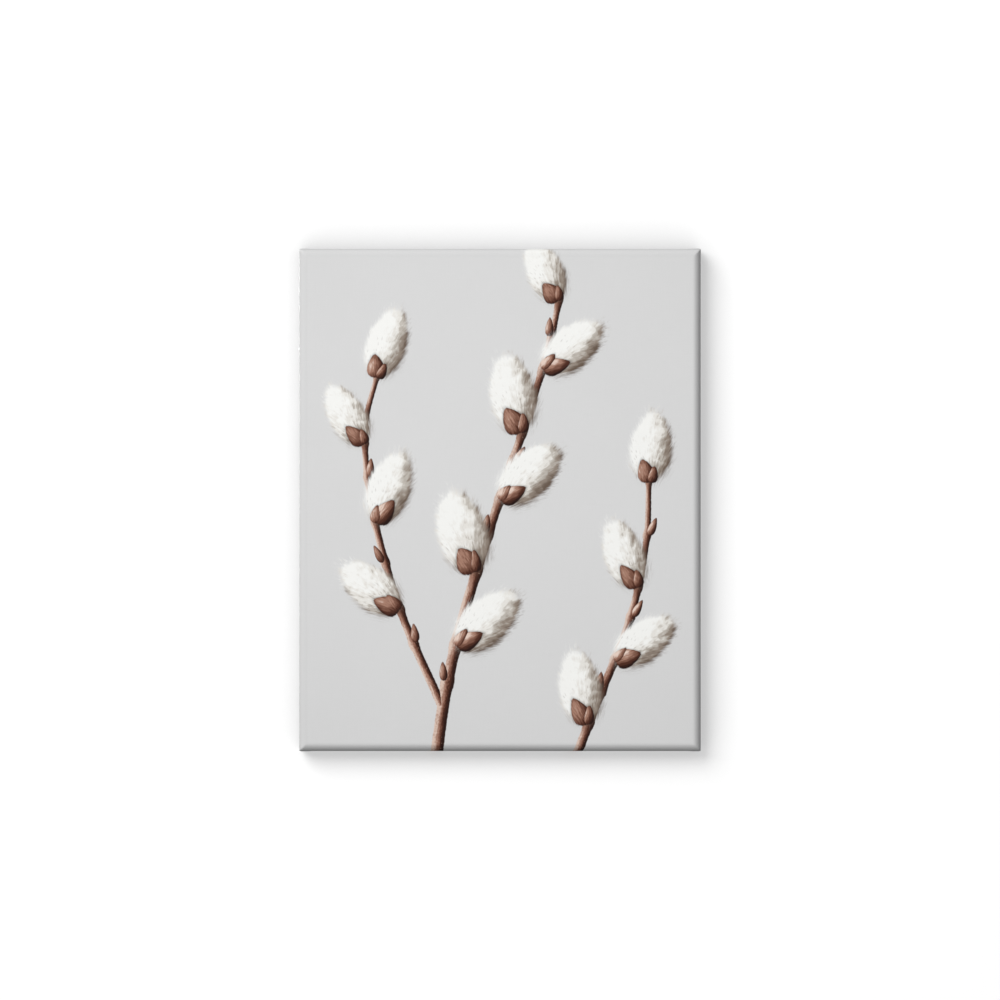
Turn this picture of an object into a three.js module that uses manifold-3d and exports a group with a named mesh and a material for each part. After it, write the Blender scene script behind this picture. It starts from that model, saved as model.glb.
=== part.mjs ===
// A stretched canvas wall print: printed cloth wrapped over a frame of four
// mitred bars, stapled at the back, tightened by corner keys and hung from a
// toothed steel strip.
//
// Millimetres, +Z up. The wall is the plane y = 0 and the picture faces -Y. The
// origin is the notch of the hanger that the wall's nail bears in.

import * as THREE from "three";
import { mergeVertices } from "three/addons/utils/BufferGeometryUtils.js";
import Module from "manifold-3d";

const wasm = await Module();
wasm.setup();
const { Manifold, Mesh } = wasm;

// ---------------------------------------------------------------- dimensions

// The whole panel, outside the cloth.
const WIDTH = 400;
const HEIGHT = 500;
const DEPTH = 20;
const EDGE_RADIUS = 8;
const EDGE_STEPS = 8;

// Clearances between pieces that touch on the real thing.
const CLOTH_GAP = 0.2;
const WOOD_GAP = 0.3;
const LAYER_GAP = 0.2;
const METAL_GAP = 0.1;

// The cloth, and the triangle of spare cloth folded over each corner.
const CLOTH = 0.6;
const HEM = 28;
const FOLD_START = 2;
const FOLD_INSET = 1;

// The hanger: a strip whose ends lie on the hem and whose middle stands proud.
const HANGER_LENGTH = 46;
const HANGER_HEIGHT = 10;
const HANGER_THICK = 0.8;
const HANGER_STAND_OFF = 3;
const HANGER_MIDDLE = 28;
const HANGER_RAMP = 2.4;
const HANGER_BEND = 0.3;
const HANGER_CORNER = 1.6;
const HOOK_DROP = 15;
const TOOTH_PITCH = 3;
const TOOTH_DEPTH = 1.5;
const TEETH = 8;

// The nails through the hanger's ends.
const NAIL_SPREAD = 18.6;
const NAIL_HEAD_RADIUS = 1.9;
const NAIL_CROWN_RADIUS = 1.3;
const NAIL_HEAD_THICK = 0.6;
const NAIL_RIM = 0.25;
const NAIL_RADIUS = 0.7;
const NAIL_LENGTH = 13;
const NAIL_POINT = 2;
const NAIL_CLEARANCE = 0.2;
const NAIL_SIDES = 20;

// The bars.
const BAR_WIDTH = 38;
const LIP_WIDTH = 3.2;
const LIP_DROP = 1.8;
const FACE_DROP = 3.2;
const ARRIS = 1.2;

// The corner joint: a slot and a tongue at each end, in two layers that are
// measured forward from the bars' back plane.
const SLOT_THICK = 3.2;
const REAR_LAYER = 3.4;
const FRONT_LAYER = 8.2;
const SLOT_WALL = 5;
const TONGUE_ROOT = 2;

// The keys.
const KEY_TIP = 4;
const KEY_HEAD = 9;
const KEY_DEPTH = 26;
const KEY_PROUD = 12;
const KEY_CHAMFER = 1;

// The staples.
const CROWN_LENGTH = 11;
const WIRE_WIDTH = 1.2;
const WIRE_THICK = 0.6;
const LEG_LENGTH = 7.4;
const LEG_CLEARANCE = 0.15;
const INNER_BEND = 0.4;
const BEND_STEPS = 3;
const STAPLE_INSET = 20;
const STAPLE_SPACING = 58;
const CORNER_MARGIN = 58;
const CORNER_STAPLE_ALONG = 19;
const CORNER_STAPLE_INSET = 7.5;
const TILT_DRIFT = 0.11;
const ALONG_DRIFT = 1.6;
const INSET_DRIFT = 0.8;
const STAPLE_SEED = 20417;

// Planes square to Y, from the wall forward to the picture.
const HEM_BACK = -HANGER_STAND_OFF;
const BAR_BACK = HEM_BACK - CLOTH - CLOTH_GAP;
const FACE_FRONT = HEM_BACK - DEPTH;
const BAR_FRONT = FACE_FRONT + CLOTH + CLOTH_GAP;

// What the metal rests on, and where the hanger's middle line lies.
const METAL_REST = HEM_BACK + METAL_GAP;
const NAIL_REST = METAL_REST + HANGER_THICK + METAL_GAP;
const HANGER_INSET = HOOK_DROP + TOOTH_DEPTH - HANGER_HEIGHT / 2;

// The wood's outer edge lies inside the cloth by this much.
const WOOD_INSET = CLOTH + CLOTH_GAP;

// The panel's centre, below the hook.
const CENTRE_Z = HOOK_DROP - HEIGHT / 2;

// ----------------------------------------------------------------- materials

const finish = (name, color, roughness, metalness = 0) =>
  new THREE.MeshStandardMaterial({ name, color, roughness, metalness });

const MATERIALS = {
  canvas: finish("printed canvas", 0xd6d5d4, 0.72),
  bar: finish("pine", 0xdcbb8a, 0.62),
  key: finish("beech", 0xc99b68, 0.58),
  staple: finish("galvanised wire", 0xa9abad, 0.38, 0.9),
  hanger: finish("brass-plated steel", 0xb79a5e, 0.34, 0.9),
  nail: finish("brass-plated nail", 0xb79a5e, 0.3, 0.9),
};

// ------------------------------------------------------------- solid helpers

// Each basis turns an extrusion along Z into one along the named axis. An
// outline is drawn in the other two axes, in cyclic order: y,z for x; z,x for
// y; x,y for z.
const X = new THREE.Vector3(1, 0, 0);
const Y = new THREE.Vector3(0, 1, 0);
const Z = new THREE.Vector3(0, 0, 1);
const BASIS = {
  x: new THREE.Matrix4().makeBasis(Y, Z, X),
  y: new THREE.Matrix4().makeBasis(Z, X, Y),
  z: new THREE.Matrix4().makeBasis(X, Y, Z),
};
const MERGE_DISTANCE = 1e-4;

function toSolid(geometry) {
  geometry.deleteAttribute("normal");
  geometry.deleteAttribute("uv");
  const merged = mergeVertices(geometry, MERGE_DISTANCE);
  return new Manifold(new Mesh({
    numProp: 3,
    vertProperties: new Float32Array(merged.attributes.position.array),
    triVerts: new Uint32Array(merged.index.array),
  }));
}

function toGeometry(solid) {
  const { vertProperties, triVerts } = solid.getMesh();
  const geometry = new THREE.BufferGeometry();
  geometry.setAttribute("position", new THREE.BufferAttribute(vertProperties, 3));
  geometry.setIndex(new THREE.BufferAttribute(triVerts, 1));
  geometry.computeVertexNormals();
  return geometry;
}

function prism(points, axis, from, to) {
  const shape = new THREE.Shape(points.map(([u, v]) => new THREE.Vector2(u, v)));
  const geometry = new THREE.ExtrudeGeometry(shape, { depth: to - from, bevelEnabled: false });
  geometry.translate(0, 0, from);
  geometry.applyMatrix4(BASIS[axis]);
  return toSolid(geometry);
}

function block([x0, x1], [y0, y1], [z0, z1]) {
  return prism([[x0, y0], [x1, y0], [x1, y1], [x0, y1]], "z", z0, z1);
}

// Points along an arc, both ends included.
function arc(centreU, centreV, radius, from, to, steps) {
  return Array.from({ length: steps + 1 }, (_, step) => {
    const angle = from + ((to - from) * step) / steps;
    return [centreU + radius * Math.cos(angle), centreV + radius * Math.sin(angle)];
  });
}

const swapped = (points) => points.map(([u, v]) => [v, u]);
const turned = (solid, matrix) => solid.transform(matrix.elements);

function named(name, geometry, material) {
  const mesh = new THREE.Mesh(geometry, material);
  mesh.name = name;
  return mesh;
}

function placed(name, geometry, material, matrix) {
  const mesh = named(name, geometry, material);
  mesh.applyMatrix4(matrix);
  return mesh;
}

// A repeatable draw between -1 and 1, so that the staples sit a little unevenly.
function makeDraw(seed) {
  const multiplier = 48271;
  const modulus = 2147483647;
  let state = seed;
  return () => {
    state = (state * multiplier) % modulus;
    return (2 * state) / modulus - 1;
  };
}

// --------------------------------------------------------------------- sides

// Every side is built like the bottom one, in a frame at the panel's centre:
// x runs along the side, +z points inward, and the group turns about Y. The
// hems of the top and the bottom lap over the corners.
const SIDES = [
  { name: "bottom", length: WIDTH, reach: HEIGHT / 2, turn: 0, laps: true },
  { name: "right", length: HEIGHT, reach: WIDTH / 2, turn: -Math.PI / 2, laps: false },
  { name: "top", length: WIDTH, reach: HEIGHT / 2, turn: Math.PI, laps: true },
  { name: "left", length: HEIGHT, reach: WIDTH / 2, turn: Math.PI / 2, laps: false },
];
const TOP = SIDES.find(({ name }) => name === "top");
const ENDS = { start: -1, finish: 1 };

const sideMatrix = (side) => new THREE.Matrix4().makeRotationY(side.turn);

// A point near one end of a side, from its distance to that end and to the
// outer edge, in the order that an outline along Y wants.
const nearEnd = (side, end) => ([fromEnd, inset]) =>
  [inset - side.reach, end * (side.length / 2 - fromEnd)];

// ------------------------------------------------------------------- staples

// One bent wire: its crown's under side is at y = 0 and its legs point to -Y.
function stapleSolid(grow = 0) {
  const half = CROWN_LENGTH / 2 + grow;
  const wire = WIRE_THICK + 2 * grow;
  const top = WIRE_THICK + grow;
  const foot = -LEG_LENGTH - grow;
  const outer = INNER_BEND + WIRE_THICK;
  const inside = half - wire - INNER_BEND;
  const right = [
    [half, foot],
    ...arc(half - outer, top - outer, outer, 0, Math.PI / 2, BEND_STEPS),
  ];
  const underRight = [
    ...arc(inside, -INNER_BEND, INNER_BEND, Math.PI / 2, 0, BEND_STEPS),
    [half - wire, foot + wire],
  ];
  const mirrored = (points) => points.map(([x, y]) => [-x, y]).reverse();
  const profile = [...right, ...mirrored(right), ...mirrored(underRight), ...underRight];
  const halfWidth = WIRE_WIDTH / 2 + grow;
  return prism(profile, "z", -halfWidth, halfWidth);
}

// Where the staples of one side sit, as matrices in that side's frame. A side
// that laps over the corners also has one staple in each corner fold.
function staplePlaces(side, draw) {
  const run = side.length - 2 * CORNER_MARGIN;
  const gaps = Math.round(run / STAPLE_SPACING);
  const places = [];
  for (let index = 0; index <= gaps; index += 1) {
    const along = run * (index / gaps - 0.5) + ALONG_DRIFT * draw();
    const inset = STAPLE_INSET + INSET_DRIFT * draw();
    places.push({ along, inset, tilt: TILT_DRIFT * draw(), rest: METAL_REST });
  }
  if (side.laps) {
    for (const end of Object.values(ENDS)) {
      const along = end * (side.length / 2 - CORNER_STAPLE_ALONG);
      places.push({ along, inset: CORNER_STAPLE_INSET, tilt: 0, rest: METAL_REST + CLOTH });
    }
  }
  return places.map(({ along, inset, tilt, rest }) =>
    new THREE.Matrix4().makeRotationY(tilt).setPosition(along, rest, inset - side.reach));
}

// --------------------------------------------------------------------- nails

// A round head on a pointed shank, along Y, the head's under side at y = 0.
function nailGeometry(grow = 0) {
  const profile = [
    [0, -NAIL_LENGTH - grow],
    [NAIL_RADIUS + grow, NAIL_POINT - NAIL_LENGTH],
    [NAIL_RADIUS + grow, 0],
    [NAIL_HEAD_RADIUS + grow, 0],
    [NAIL_HEAD_RADIUS + grow, NAIL_RIM],
    [NAIL_CROWN_RADIUS + grow, NAIL_HEAD_THICK + grow],
    [0, NAIL_HEAD_THICK + grow],
  ];
  const points = profile.map(([radius, height]) => new THREE.Vector2(radius, height));
  return new THREE.LatheGeometry(points, NAIL_SIDES);
}

const nailPlace = (end) =>
  new THREE.Matrix4().makeTranslation(end * NAIL_SPREAD, NAIL_REST, HANGER_INSET - TOP.reach);

// --------------------------------------------------------------------- holes

// Only what lies below y = 0: a fastener without its crown or head.
function belowRest(solid) {
  const room = [-CROWN_LENGTH, CROWN_LENGTH];
  return solid.subtract(block(room, [0, DEPTH], room));
}

const stapleHole = () => belowRest(stapleSolid(LEG_CLEARANCE));
const nailHole = () => belowRest(toSolid(nailGeometry(NAIL_CLEARANCE)));

// Everything that goes through the cloth into the wood, as one solid in the
// panel's frame, a little larger than the wire and the nails.
function fastenerHoles(stapled) {
  const legs = stapleHole();
  const shank = nailHole();
  const holes = stapled.flatMap(({ side, places }) =>
    places.map((place) => turned(legs, sideMatrix(side).multiply(place))));
  for (const end of Object.values(ENDS)) {
    holes.push(turned(shank, sideMatrix(TOP).multiply(nailPlace(end))));
  }
  return Manifold.union(holes);
}

// -------------------------------------------------------------------- canvas

// The section of the wrapped panel across one direction, as distance from its
// middle against y: square at the back, rounded at the two front edges.
function wrapSection(reach, inset) {
  const radius = EDGE_RADIUS - inset;
  const side = reach - inset;
  const front = FACE_FRONT + inset;
  const back = HEM_BACK - inset;
  const quarter = Math.PI / 2;
  return [
    [-side, back],
    ...arc(radius - side, front + radius, radius, 2 * quarter, 3 * quarter, EDGE_STEPS),
    ...arc(side - radius, front + radius, radius, 3 * quarter, 4 * quarter, EDGE_STEPS),
    [side, back],
  ];
}

// The two sections run across each other, so the rounded edges meet in mitres.
function wrappedPanel(inset) {
  const tall = HEIGHT / 2 - inset;
  const wide = WIDTH / 2 - inset;
  const upright = prism(wrapSection(WIDTH / 2, inset), "z", -tall, tall);
  const across = prism(swapped(wrapSection(HEIGHT / 2, inset)), "x", -wide, wide);
  return upright.intersect(across);
}

// The spare cloth at a corner, folded flat over the end of a lapping hem.
function cornerFold(side, end) {
  const flap = [[FOLD_START, FOLD_INSET], [HEM, FOLD_INSET], [HEM, HEM]].map(nearEnd(side, end));
  return turned(prism(flap, "y", HEM_BACK - CLOTH / 2, HEM_BACK + CLOTH), sideMatrix(side));
}

function canvasSolid(holes) {
  const opening = block(
    [HEM - WIDTH / 2, WIDTH / 2 - HEM],
    [HEM_BACK - 2 * CLOTH, HEM_BACK + CLOTH],
    [HEM - HEIGHT / 2, HEIGHT / 2 - HEM],
  );
  let cloth = wrappedPanel(0).subtract(wrappedPanel(CLOTH)).subtract(opening);
  for (const side of SIDES.filter(({ laps }) => laps)) {
    for (const end of Object.values(ENDS)) cloth = cloth.add(cornerFold(side, end));
  }
  return cloth.subtract(holes);
}

// ---------------------------------------------------------------------- bars

// The bar's section, y across its thickness against z inward. The lip stands up
// at the outer edge, and the face slopes away behind it.
function barSection(reach) {
  const outer = WOOD_INSET - reach;
  const inner = BAR_WIDTH - reach;
  const radius = EDGE_RADIUS - WOOD_INSET;
  return [
    [BAR_BACK, outer],
    [BAR_BACK, inner - ARRIS],
    [BAR_BACK - ARRIS, inner],
    [BAR_FRONT + FACE_DROP + ARRIS, inner],
    [BAR_FRONT + FACE_DROP, inner - ARRIS],
    [BAR_FRONT + LIP_DROP, outer + radius + LIP_WIDTH + LIP_DROP],
    [BAR_FRONT, outer + radius + LIP_WIDTH],
    ...arc(BAR_FRONT + radius, outer + radius, radius, Math.PI, 1.5 * Math.PI, EDGE_STEPS),
  ];
}

// A flat piece of the corner joint, cut to an outline near one end of a side.
function jointLayer(side, end, points, offset, thickness) {
  const front = BAR_BACK - offset - thickness;
  return prism(points.map(nearEnd(side, end)), "y", front, front + thickness);
}

// How wide a key is at a distance from the outer edge: it widens to its head.
function keyWidth(inset) {
  const tip = BAR_WIDTH - KEY_DEPTH;
  const share = (inset - tip) / (KEY_DEPTH + KEY_PROUD);
  return KEY_TIP + (KEY_HEAD - KEY_TIP) * share;
}

// The slot takes the other bar's tongue and, past it, one key.
function slotCut(side, end, offset) {
  const bottom = BAR_WIDTH - KEY_DEPTH - WOOD_GAP;
  const mouth = BAR_WIDTH + KEY_PROUD;
  const far = (inset) => BAR_WIDTH + keyWidth(inset) + 2 * WOOD_GAP;
  return jointLayer(side, end, [
    [0, SLOT_WALL], [BAR_WIDTH, SLOT_WALL], [BAR_WIDTH, bottom],
    [far(bottom), bottom], [far(mouth), mouth], [0, mouth],
  ], offset, SLOT_THICK);
}

// The tongue fills the other bar's slot, out past this bar's own mitre.
function tongue(side, end, offset) {
  const near = SLOT_WALL + WOOD_GAP;
  const far = BAR_WIDTH - WOOD_GAP;
  return jointLayer(side, end, [
    [near, near], [near + TONGUE_ROOT, near], [far + TONGUE_ROOT, far], [near, far],
  ], offset + LAYER_GAP, SLOT_THICK - 2 * LAYER_GAP);
}

function barSolid(side, holes) {
  const half = side.length / 2 - WOOD_INSET;
  const mitre = WOOD_GAP / 2;
  const outer = [WOOD_INSET + mitre, WOOD_INSET];
  const inner = [BAR_WIDTH + mitre, BAR_WIDTH];
  const start = nearEnd(side, ENDS.start);
  const finished = nearEnd(side, ENDS.finish);
  const plan = [start(outer), finished(outer), finished(inner), start(inner)];
  return prism(barSection(side.reach), "x", -half, half)
    .intersect(prism(plan, "y", FACE_FRONT, HEM_BACK))
    .subtract(slotCut(side, ENDS.finish, FRONT_LAYER))
    .subtract(slotCut(side, ENDS.start, REAR_LAYER))
    .add(tongue(side, ENDS.finish, REAR_LAYER))
    .add(tongue(side, ENDS.start, FRONT_LAYER))
    .subtract(turned(holes, sideMatrix(side).invert()));
}

// ---------------------------------------------------------------------- keys

// A thin wedge with one straight edge along the next bar.
function keySolid(side, end, offset) {
  const straight = BAR_WIDTH + WOOD_GAP;
  const tip = BAR_WIDTH - KEY_DEPTH;
  const head = BAR_WIDTH + KEY_PROUD;
  return jointLayer(side, end, [
    [straight, tip],
    [straight + keyWidth(tip), tip],
    [straight + keyWidth(head - KEY_CHAMFER), head - KEY_CHAMFER],
    [straight + keyWidth(head) - KEY_CHAMFER, head],
    [straight + KEY_CHAMFER, head],
    [straight, head - KEY_CHAMFER],
  ], offset + LAYER_GAP, SLOT_THICK - 2 * LAYER_GAP);
}

// -------------------------------------------------------------------- hanger

// The strip seen from above: two flat ends and a middle that reaches the wall.
function hangerStrip() {
  const end = HANGER_LENGTH / 2;
  const crest = HANGER_MIDDLE / 2;
  const foot = crest + HANGER_RAMP;
  const under = [[end, METAL_REST], [foot, METAL_REST], [crest, -HANGER_THICK]];
  const over = [
    [crest + HANGER_BEND, 0],
    [foot + HANGER_BEND, METAL_REST + HANGER_THICK],
    [end, METAL_REST + HANGER_THICK],
  ];
  const mirrored = (points) => points.map(([x, y]) => [-x, y]).reverse();
  return [...under, ...mirrored(under), ...mirrored(over), ...over];
}

// The strip's face, with its corners cut off and its teeth along the edge that
// hangs lowest, in the order that an outline along Y wants.
function hangerFace(middle) {
  const half = HANGER_LENGTH / 2;
  const cut = half - HANGER_CORNER;
  const upper = middle - HANGER_HEIGHT / 2;
  const lower = middle + HANGER_HEIGHT / 2;
  const points = [
    [lower, -cut], [lower - HANGER_CORNER, -half],
    [upper + HANGER_CORNER, -half], [upper, -cut],
    [upper, cut], [upper + HANGER_CORNER, half],
    [lower - HANGER_CORNER, half], [lower, cut],
  ];
  for (let notch = TEETH / 2; notch >= -TEETH / 2; notch -= 1) {
    points.push([lower, TOOTH_PITCH * (notch + 0.5)]);
    points.push([lower - TOOTH_DEPTH, TOOTH_PITCH * notch]);
  }
  points.push([lower, -TOOTH_PITCH * (TEETH / 2 + 0.5)]);
  return points;
}

function hangerSolid() {
  const middle = HANGER_INSET - TOP.reach;
  const shank = nailHole();
  const holes = Object.values(ENDS).map((end) => turned(shank, nailPlace(end)));
  return prism(hangerStrip(), "z", middle - HANGER_HEIGHT, middle + HANGER_HEIGHT)
    .intersect(prism(hangerFace(middle), "y", HEM_BACK - CLOTH, CLOTH))
    .subtract(Manifold.union(holes));
}

// ------------------------------------------------------------------ assembly

function buildSide({ side, places }, holes, stapleGeometry) {
  const group = new THREE.Group();
  const add = (name, solid, material) => group.add(named(name, toGeometry(solid), material));
  group.rotation.y = side.turn;
  add(`bar_${side.name}`, barSolid(side, holes), MATERIALS.bar);
  add(`key_${side.name}_start`, keySolid(side, ENDS.start, REAR_LAYER), MATERIALS.key);
  add(`key_${side.name}_finish`, keySolid(side, ENDS.finish, FRONT_LAYER), MATERIALS.key);
  places.forEach((place, index) => {
    group.add(placed(`staple_${side.name}_${index + 1}`, stapleGeometry, MATERIALS.staple, place));
  });
  return group;
}

// The top side is turned half round, so its start is at the picture's right.
function addHanger(group) {
  const nail = toGeometry(toSolid(nailGeometry()));
  group.add(named("hanger", toGeometry(hangerSolid()), MATERIALS.hanger));
  group.add(placed("nail_right", nail, MATERIALS.nail, nailPlace(ENDS.start)));
  group.add(placed("nail_left", nail, MATERIALS.nail, nailPlace(ENDS.finish)));
}

function buildPanel() {
  const panel = new THREE.Group();
  panel.position.z = CENTRE_Z;
  const draw = makeDraw(STAPLE_SEED);
  const stapled = SIDES.map((side) => ({ side, places: staplePlaces(side, draw) }));
  const holes = fastenerHoles(stapled);
  const stapleGeometry = toGeometry(stapleSolid());

  panel.add(named("canvas", toGeometry(canvasSolid(holes)), MATERIALS.canvas));
  for (const entry of stapled) {
    const group = buildSide(entry, holes, stapleGeometry);
    if (entry.side === TOP) addHanger(group);
    panel.add(group);
  }
  return panel;
}

export default buildPanel();
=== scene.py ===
"""A printed canvas stretched over a wooden frame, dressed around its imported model.

Lengths are in millimetres in the model's own frame, and become metres only when a mesh
or a light is made. The picture faces -Y, the wall is the plane y = 0, and +Z is up.
"""

import logging
import math
from collections.abc import Iterable, Sequence
from dataclasses import dataclass, field
from enum import Enum
from functools import cached_property

import bpy
import numpy as np
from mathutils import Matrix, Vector


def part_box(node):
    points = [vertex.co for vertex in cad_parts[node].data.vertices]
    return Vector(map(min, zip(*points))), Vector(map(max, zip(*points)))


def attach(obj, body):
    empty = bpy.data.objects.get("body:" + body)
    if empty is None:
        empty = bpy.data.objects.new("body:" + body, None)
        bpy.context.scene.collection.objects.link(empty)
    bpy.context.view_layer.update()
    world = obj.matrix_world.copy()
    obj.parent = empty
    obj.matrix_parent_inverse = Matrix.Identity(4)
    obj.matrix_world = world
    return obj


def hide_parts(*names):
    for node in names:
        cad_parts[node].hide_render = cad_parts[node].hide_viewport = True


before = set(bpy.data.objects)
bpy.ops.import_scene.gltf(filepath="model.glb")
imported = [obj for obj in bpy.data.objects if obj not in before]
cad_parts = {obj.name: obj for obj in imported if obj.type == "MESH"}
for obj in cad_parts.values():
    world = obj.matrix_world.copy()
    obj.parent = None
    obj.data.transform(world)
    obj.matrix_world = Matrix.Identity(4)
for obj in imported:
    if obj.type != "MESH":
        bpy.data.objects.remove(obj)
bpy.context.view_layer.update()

MM = 0.001
BODY = "root"
POINTS_AT_ONCE = 20000
LOG = logging.getLogger("canvas")

Array = np.ndarray
Colour = tuple[float, float, float, float]


# -------------------- numbers


def linear(red: float, green: float, blue: float, reflectance: float = 1.0) -> Colour:
    """Turn a colour as a screen shows it into the linear one that a shader takes.

    Args:
        red, green, blue: The screen's levels, from 0 to 255.
        reflectance: The share of the light that white would give back.

    Returns:
        The linear colour, with an alpha of 1.
    """
    levels = np.array([red, green, blue]) / 255
    steep = ((levels + 0.055) / 1.055) ** 2.4
    shades = np.where(levels <= 0.04045, levels / 12.92, steep) * reflectance
    return (*(float(shade) for shade in shades), 1.0)


def smooth_step(low: float, high: float, value: Array) -> Array:
    """Rise smoothly from 0 at low to 1 at high: 3t^2 - 2t^3 of the share t of the way."""
    share = np.clip((value - low) / (high - low), 0, 1)
    return share * share * (3 - 2 * share)


def bumps(value: Array, centres: Array, width: float) -> Array:
    """Sum the bell curves exp(-(d / width)^2) of the distances d to some centres."""
    return np.exp(-(((value[..., None] - centres) / width) ** 2)).sum(-1)


def waver(value: Array, lengths: Sequence[float], rng: np.random.Generator) -> Array:
    """Sum sine waves of the given lengths and random phases, scaled to about -1 to 1."""
    phases = rng.uniform(0, 2 * math.pi, len(lengths))
    waves = (np.sin(2 * math.pi * value / span + phase) for span, phase in zip(lengths, phases))
    return sum(waves) / len(lengths)


def pointing(turn: float) -> Array:
    """Return the unit vector that is turned by an angle from +x."""
    return np.array([math.cos(turn), math.sin(turn)])


def circle(count: int) -> Array:
    """Return the points (cos a, sin a) of even angles a round the unit circle."""
    angle = 2 * math.pi * np.arange(count) / count
    return np.stack([np.cos(angle), np.sin(angle)], axis=-1)


def tangents(line: Array) -> Array:
    """Return a line's unit direction at each of its points, from the points beside it."""
    steps = np.gradient(line, axis=0)
    return steps / np.linalg.norm(steps, axis=1, keepdims=True)


def box_mm(node: str) -> tuple[Array, Array]:
    """Return the lowest and the highest corner of a node of the model, in millimetres."""
    low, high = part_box(node)
    return np.array(low) / MM, np.array(high) / MM


def panel() -> tuple[Array, Array]:
    """Return the x and z of the panel's middle, and half of its width and height."""
    low, high = box_mm("canvas")
    return (high + low)[[0, 2]] / 2, (high - low)[[0, 2]] / 2


def nodes_named(prefix: str) -> list[str]:
    """Return the model's nodes whose names start with a prefix, in order."""
    return sorted(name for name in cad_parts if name.startswith(prefix))


# -------------------- meshes


def lattice(rows: int, columns: int, first: int = 0, closed: bool = False) -> Array:
    """Return the quads of a grid of points that are numbered row by row.

    Args:
        rows: How many rows of points there are.
        columns: How many points a row has.
        first: The number of the grid's first point.
        closed: Whether each row's last point joins its first.

    Returns:
        One row of four point numbers for each quad.
    """
    start = np.arange(columns if closed else columns - 1)
    after = (start + 1) % columns
    base = first + columns * np.arange(rows - 1)[:, None]
    quads = [base + start, base + after, base + columns + after, base + columns + start]
    return np.stack(quads, axis=-1).reshape(-1, 4)


def tube(rows: int, columns: int) -> list[Array]:
    """Return the faces of a closed tube: the quads between its rings, and both flat ends."""
    ends = np.arange(columns)
    caps = np.stack([ends, ends[::-1] + columns * (rows - 1)])
    return [lattice(rows, columns, closed=True)[:, ::-1], caps]


def new_object(name: str, data: bpy.types.ID) -> bpy.types.Object:
    """Add an object to the scene, at the origin."""
    made = bpy.data.objects.new(name, data)
    bpy.context.scene.collection.objects.link(made)
    return made


def new_piece(name: str, points: Array, faces: Sequence[Array], crease: float = 40) -> bpy.types.Object:
    """Make a piece from points in millimetres, smooth but for its sharper edges.

    Args:
        name: The piece's name.
        points: One row of x, y, z for each point.
        faces: Blocks of faces, each with one number of corners.
        crease: The angle in degrees past which an edge is sharp.

    Returns:
        The new object, linked to the scene, at the origin.
    """
    corners = np.concatenate([block.ravel() for block in faces]).astype(np.int32)
    sizes = np.concatenate([np.full(len(block), block.shape[1]) for block in faces])
    mesh = bpy.data.meshes.new(name)
    mesh.vertices.add(len(points))
    mesh.vertices.foreach_set("co", (points * MM).astype(np.float32).ravel())
    mesh.loops.add(len(corners))
    mesh.loops.foreach_set("vertex_index", corners)
    mesh.polygons.add(len(sizes))
    mesh.polygons.foreach_set("loop_start", (np.cumsum(sizes) - sizes).astype(np.int32))
    mesh.update(calc_edges=True)
    mesh.shade_smooth()
    mesh.set_sharp_from_angle(angle=math.radians(crease))
    return new_object(name, mesh)


def rounded_section(width: float, height: float, count: int = 16, power: float = 0.36) -> Array:
    """Return a rounded rectangle: the superellipse of powers of a cosine and a sine."""
    points = circle(count)
    return np.sign(points) * np.abs(points) ** power * (width / 2, height / 2)


def sweep(centres: Array, first: Array, second: Array, sections: Array) -> tuple[Array, list[Array]]:
    """Carry a section along a path and close both ends.

    The faces point outwards where the first axis crossed with the second points back
    along the path.

    Args:
        centres: The path's points.
        first: At each of them, the direction of the section's first axis.
        second: The direction of its second axis.
        sections: The section there, one row of two numbers for each point.

    Returns:
        The points and the faces.
    """
    points = (
        centres[:, None, :]
        + sections[..., :1] * first[:, None, :]
        + sections[..., 1:] * second[:, None, :]
    )
    return points.reshape(-1, 3), tube(*sections.shape[:2])


def add_field(piece: bpy.types.Object, name: str, values: Array) -> None:
    """Store a number or a vector at each of a piece's points, for its material to read."""
    kind, key = ("FLOAT", "value") if values.ndim == 1 else ("FLOAT_VECTOR", "vector")
    attribute = piece.data.attributes.new(name, kind, "POINT")
    attribute.data.foreach_set(key, values.astype(np.float32).ravel())


def set_finishes(piece: bpy.types.Object, finishes: Iterable[bpy.types.Material]) -> None:
    """Put materials in place of those that a piece has."""
    piece.data.materials.clear()
    for finish in finishes:
        piece.data.materials.append(finish)


# -------------------- shaders


class Wire:
    """A number that runs through a shader, which the usual operators work on."""

    def __init__(self, graph: "Graph", socket: bpy.types.NodeSocket) -> None:
        """Hold one node's output."""
        self.graph = graph
        self.socket = socket

    def __add__(self, other: "Number") -> "Wire":
        """Add."""
        return self.graph.math("ADD", self, other)

    def __sub__(self, other: "Number") -> "Wire":
        """Subtract."""
        return self.graph.math("SUBTRACT", self, other)

    def __mul__(self, other: "Number") -> "Wire":
        """Multiply."""
        return self.graph.math("MULTIPLY", self, other)

    def __truediv__(self, other: "Number") -> "Wire":
        """Divide."""
        return self.graph.math("DIVIDE", self, other)

    def __rsub__(self, other: float) -> "Wire":
        """Subtract this from a number."""
        return self.graph.math("SUBTRACT", other, self)

    def __pow__(self, other: "Number") -> "Wire":
        """Raise to a power."""
        return self.graph.math("POWER", self, other)

    __radd__ = __add__
    __rmul__ = __mul__


Number = Wire | float
Value = Wire | float | Sequence[float]


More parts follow.
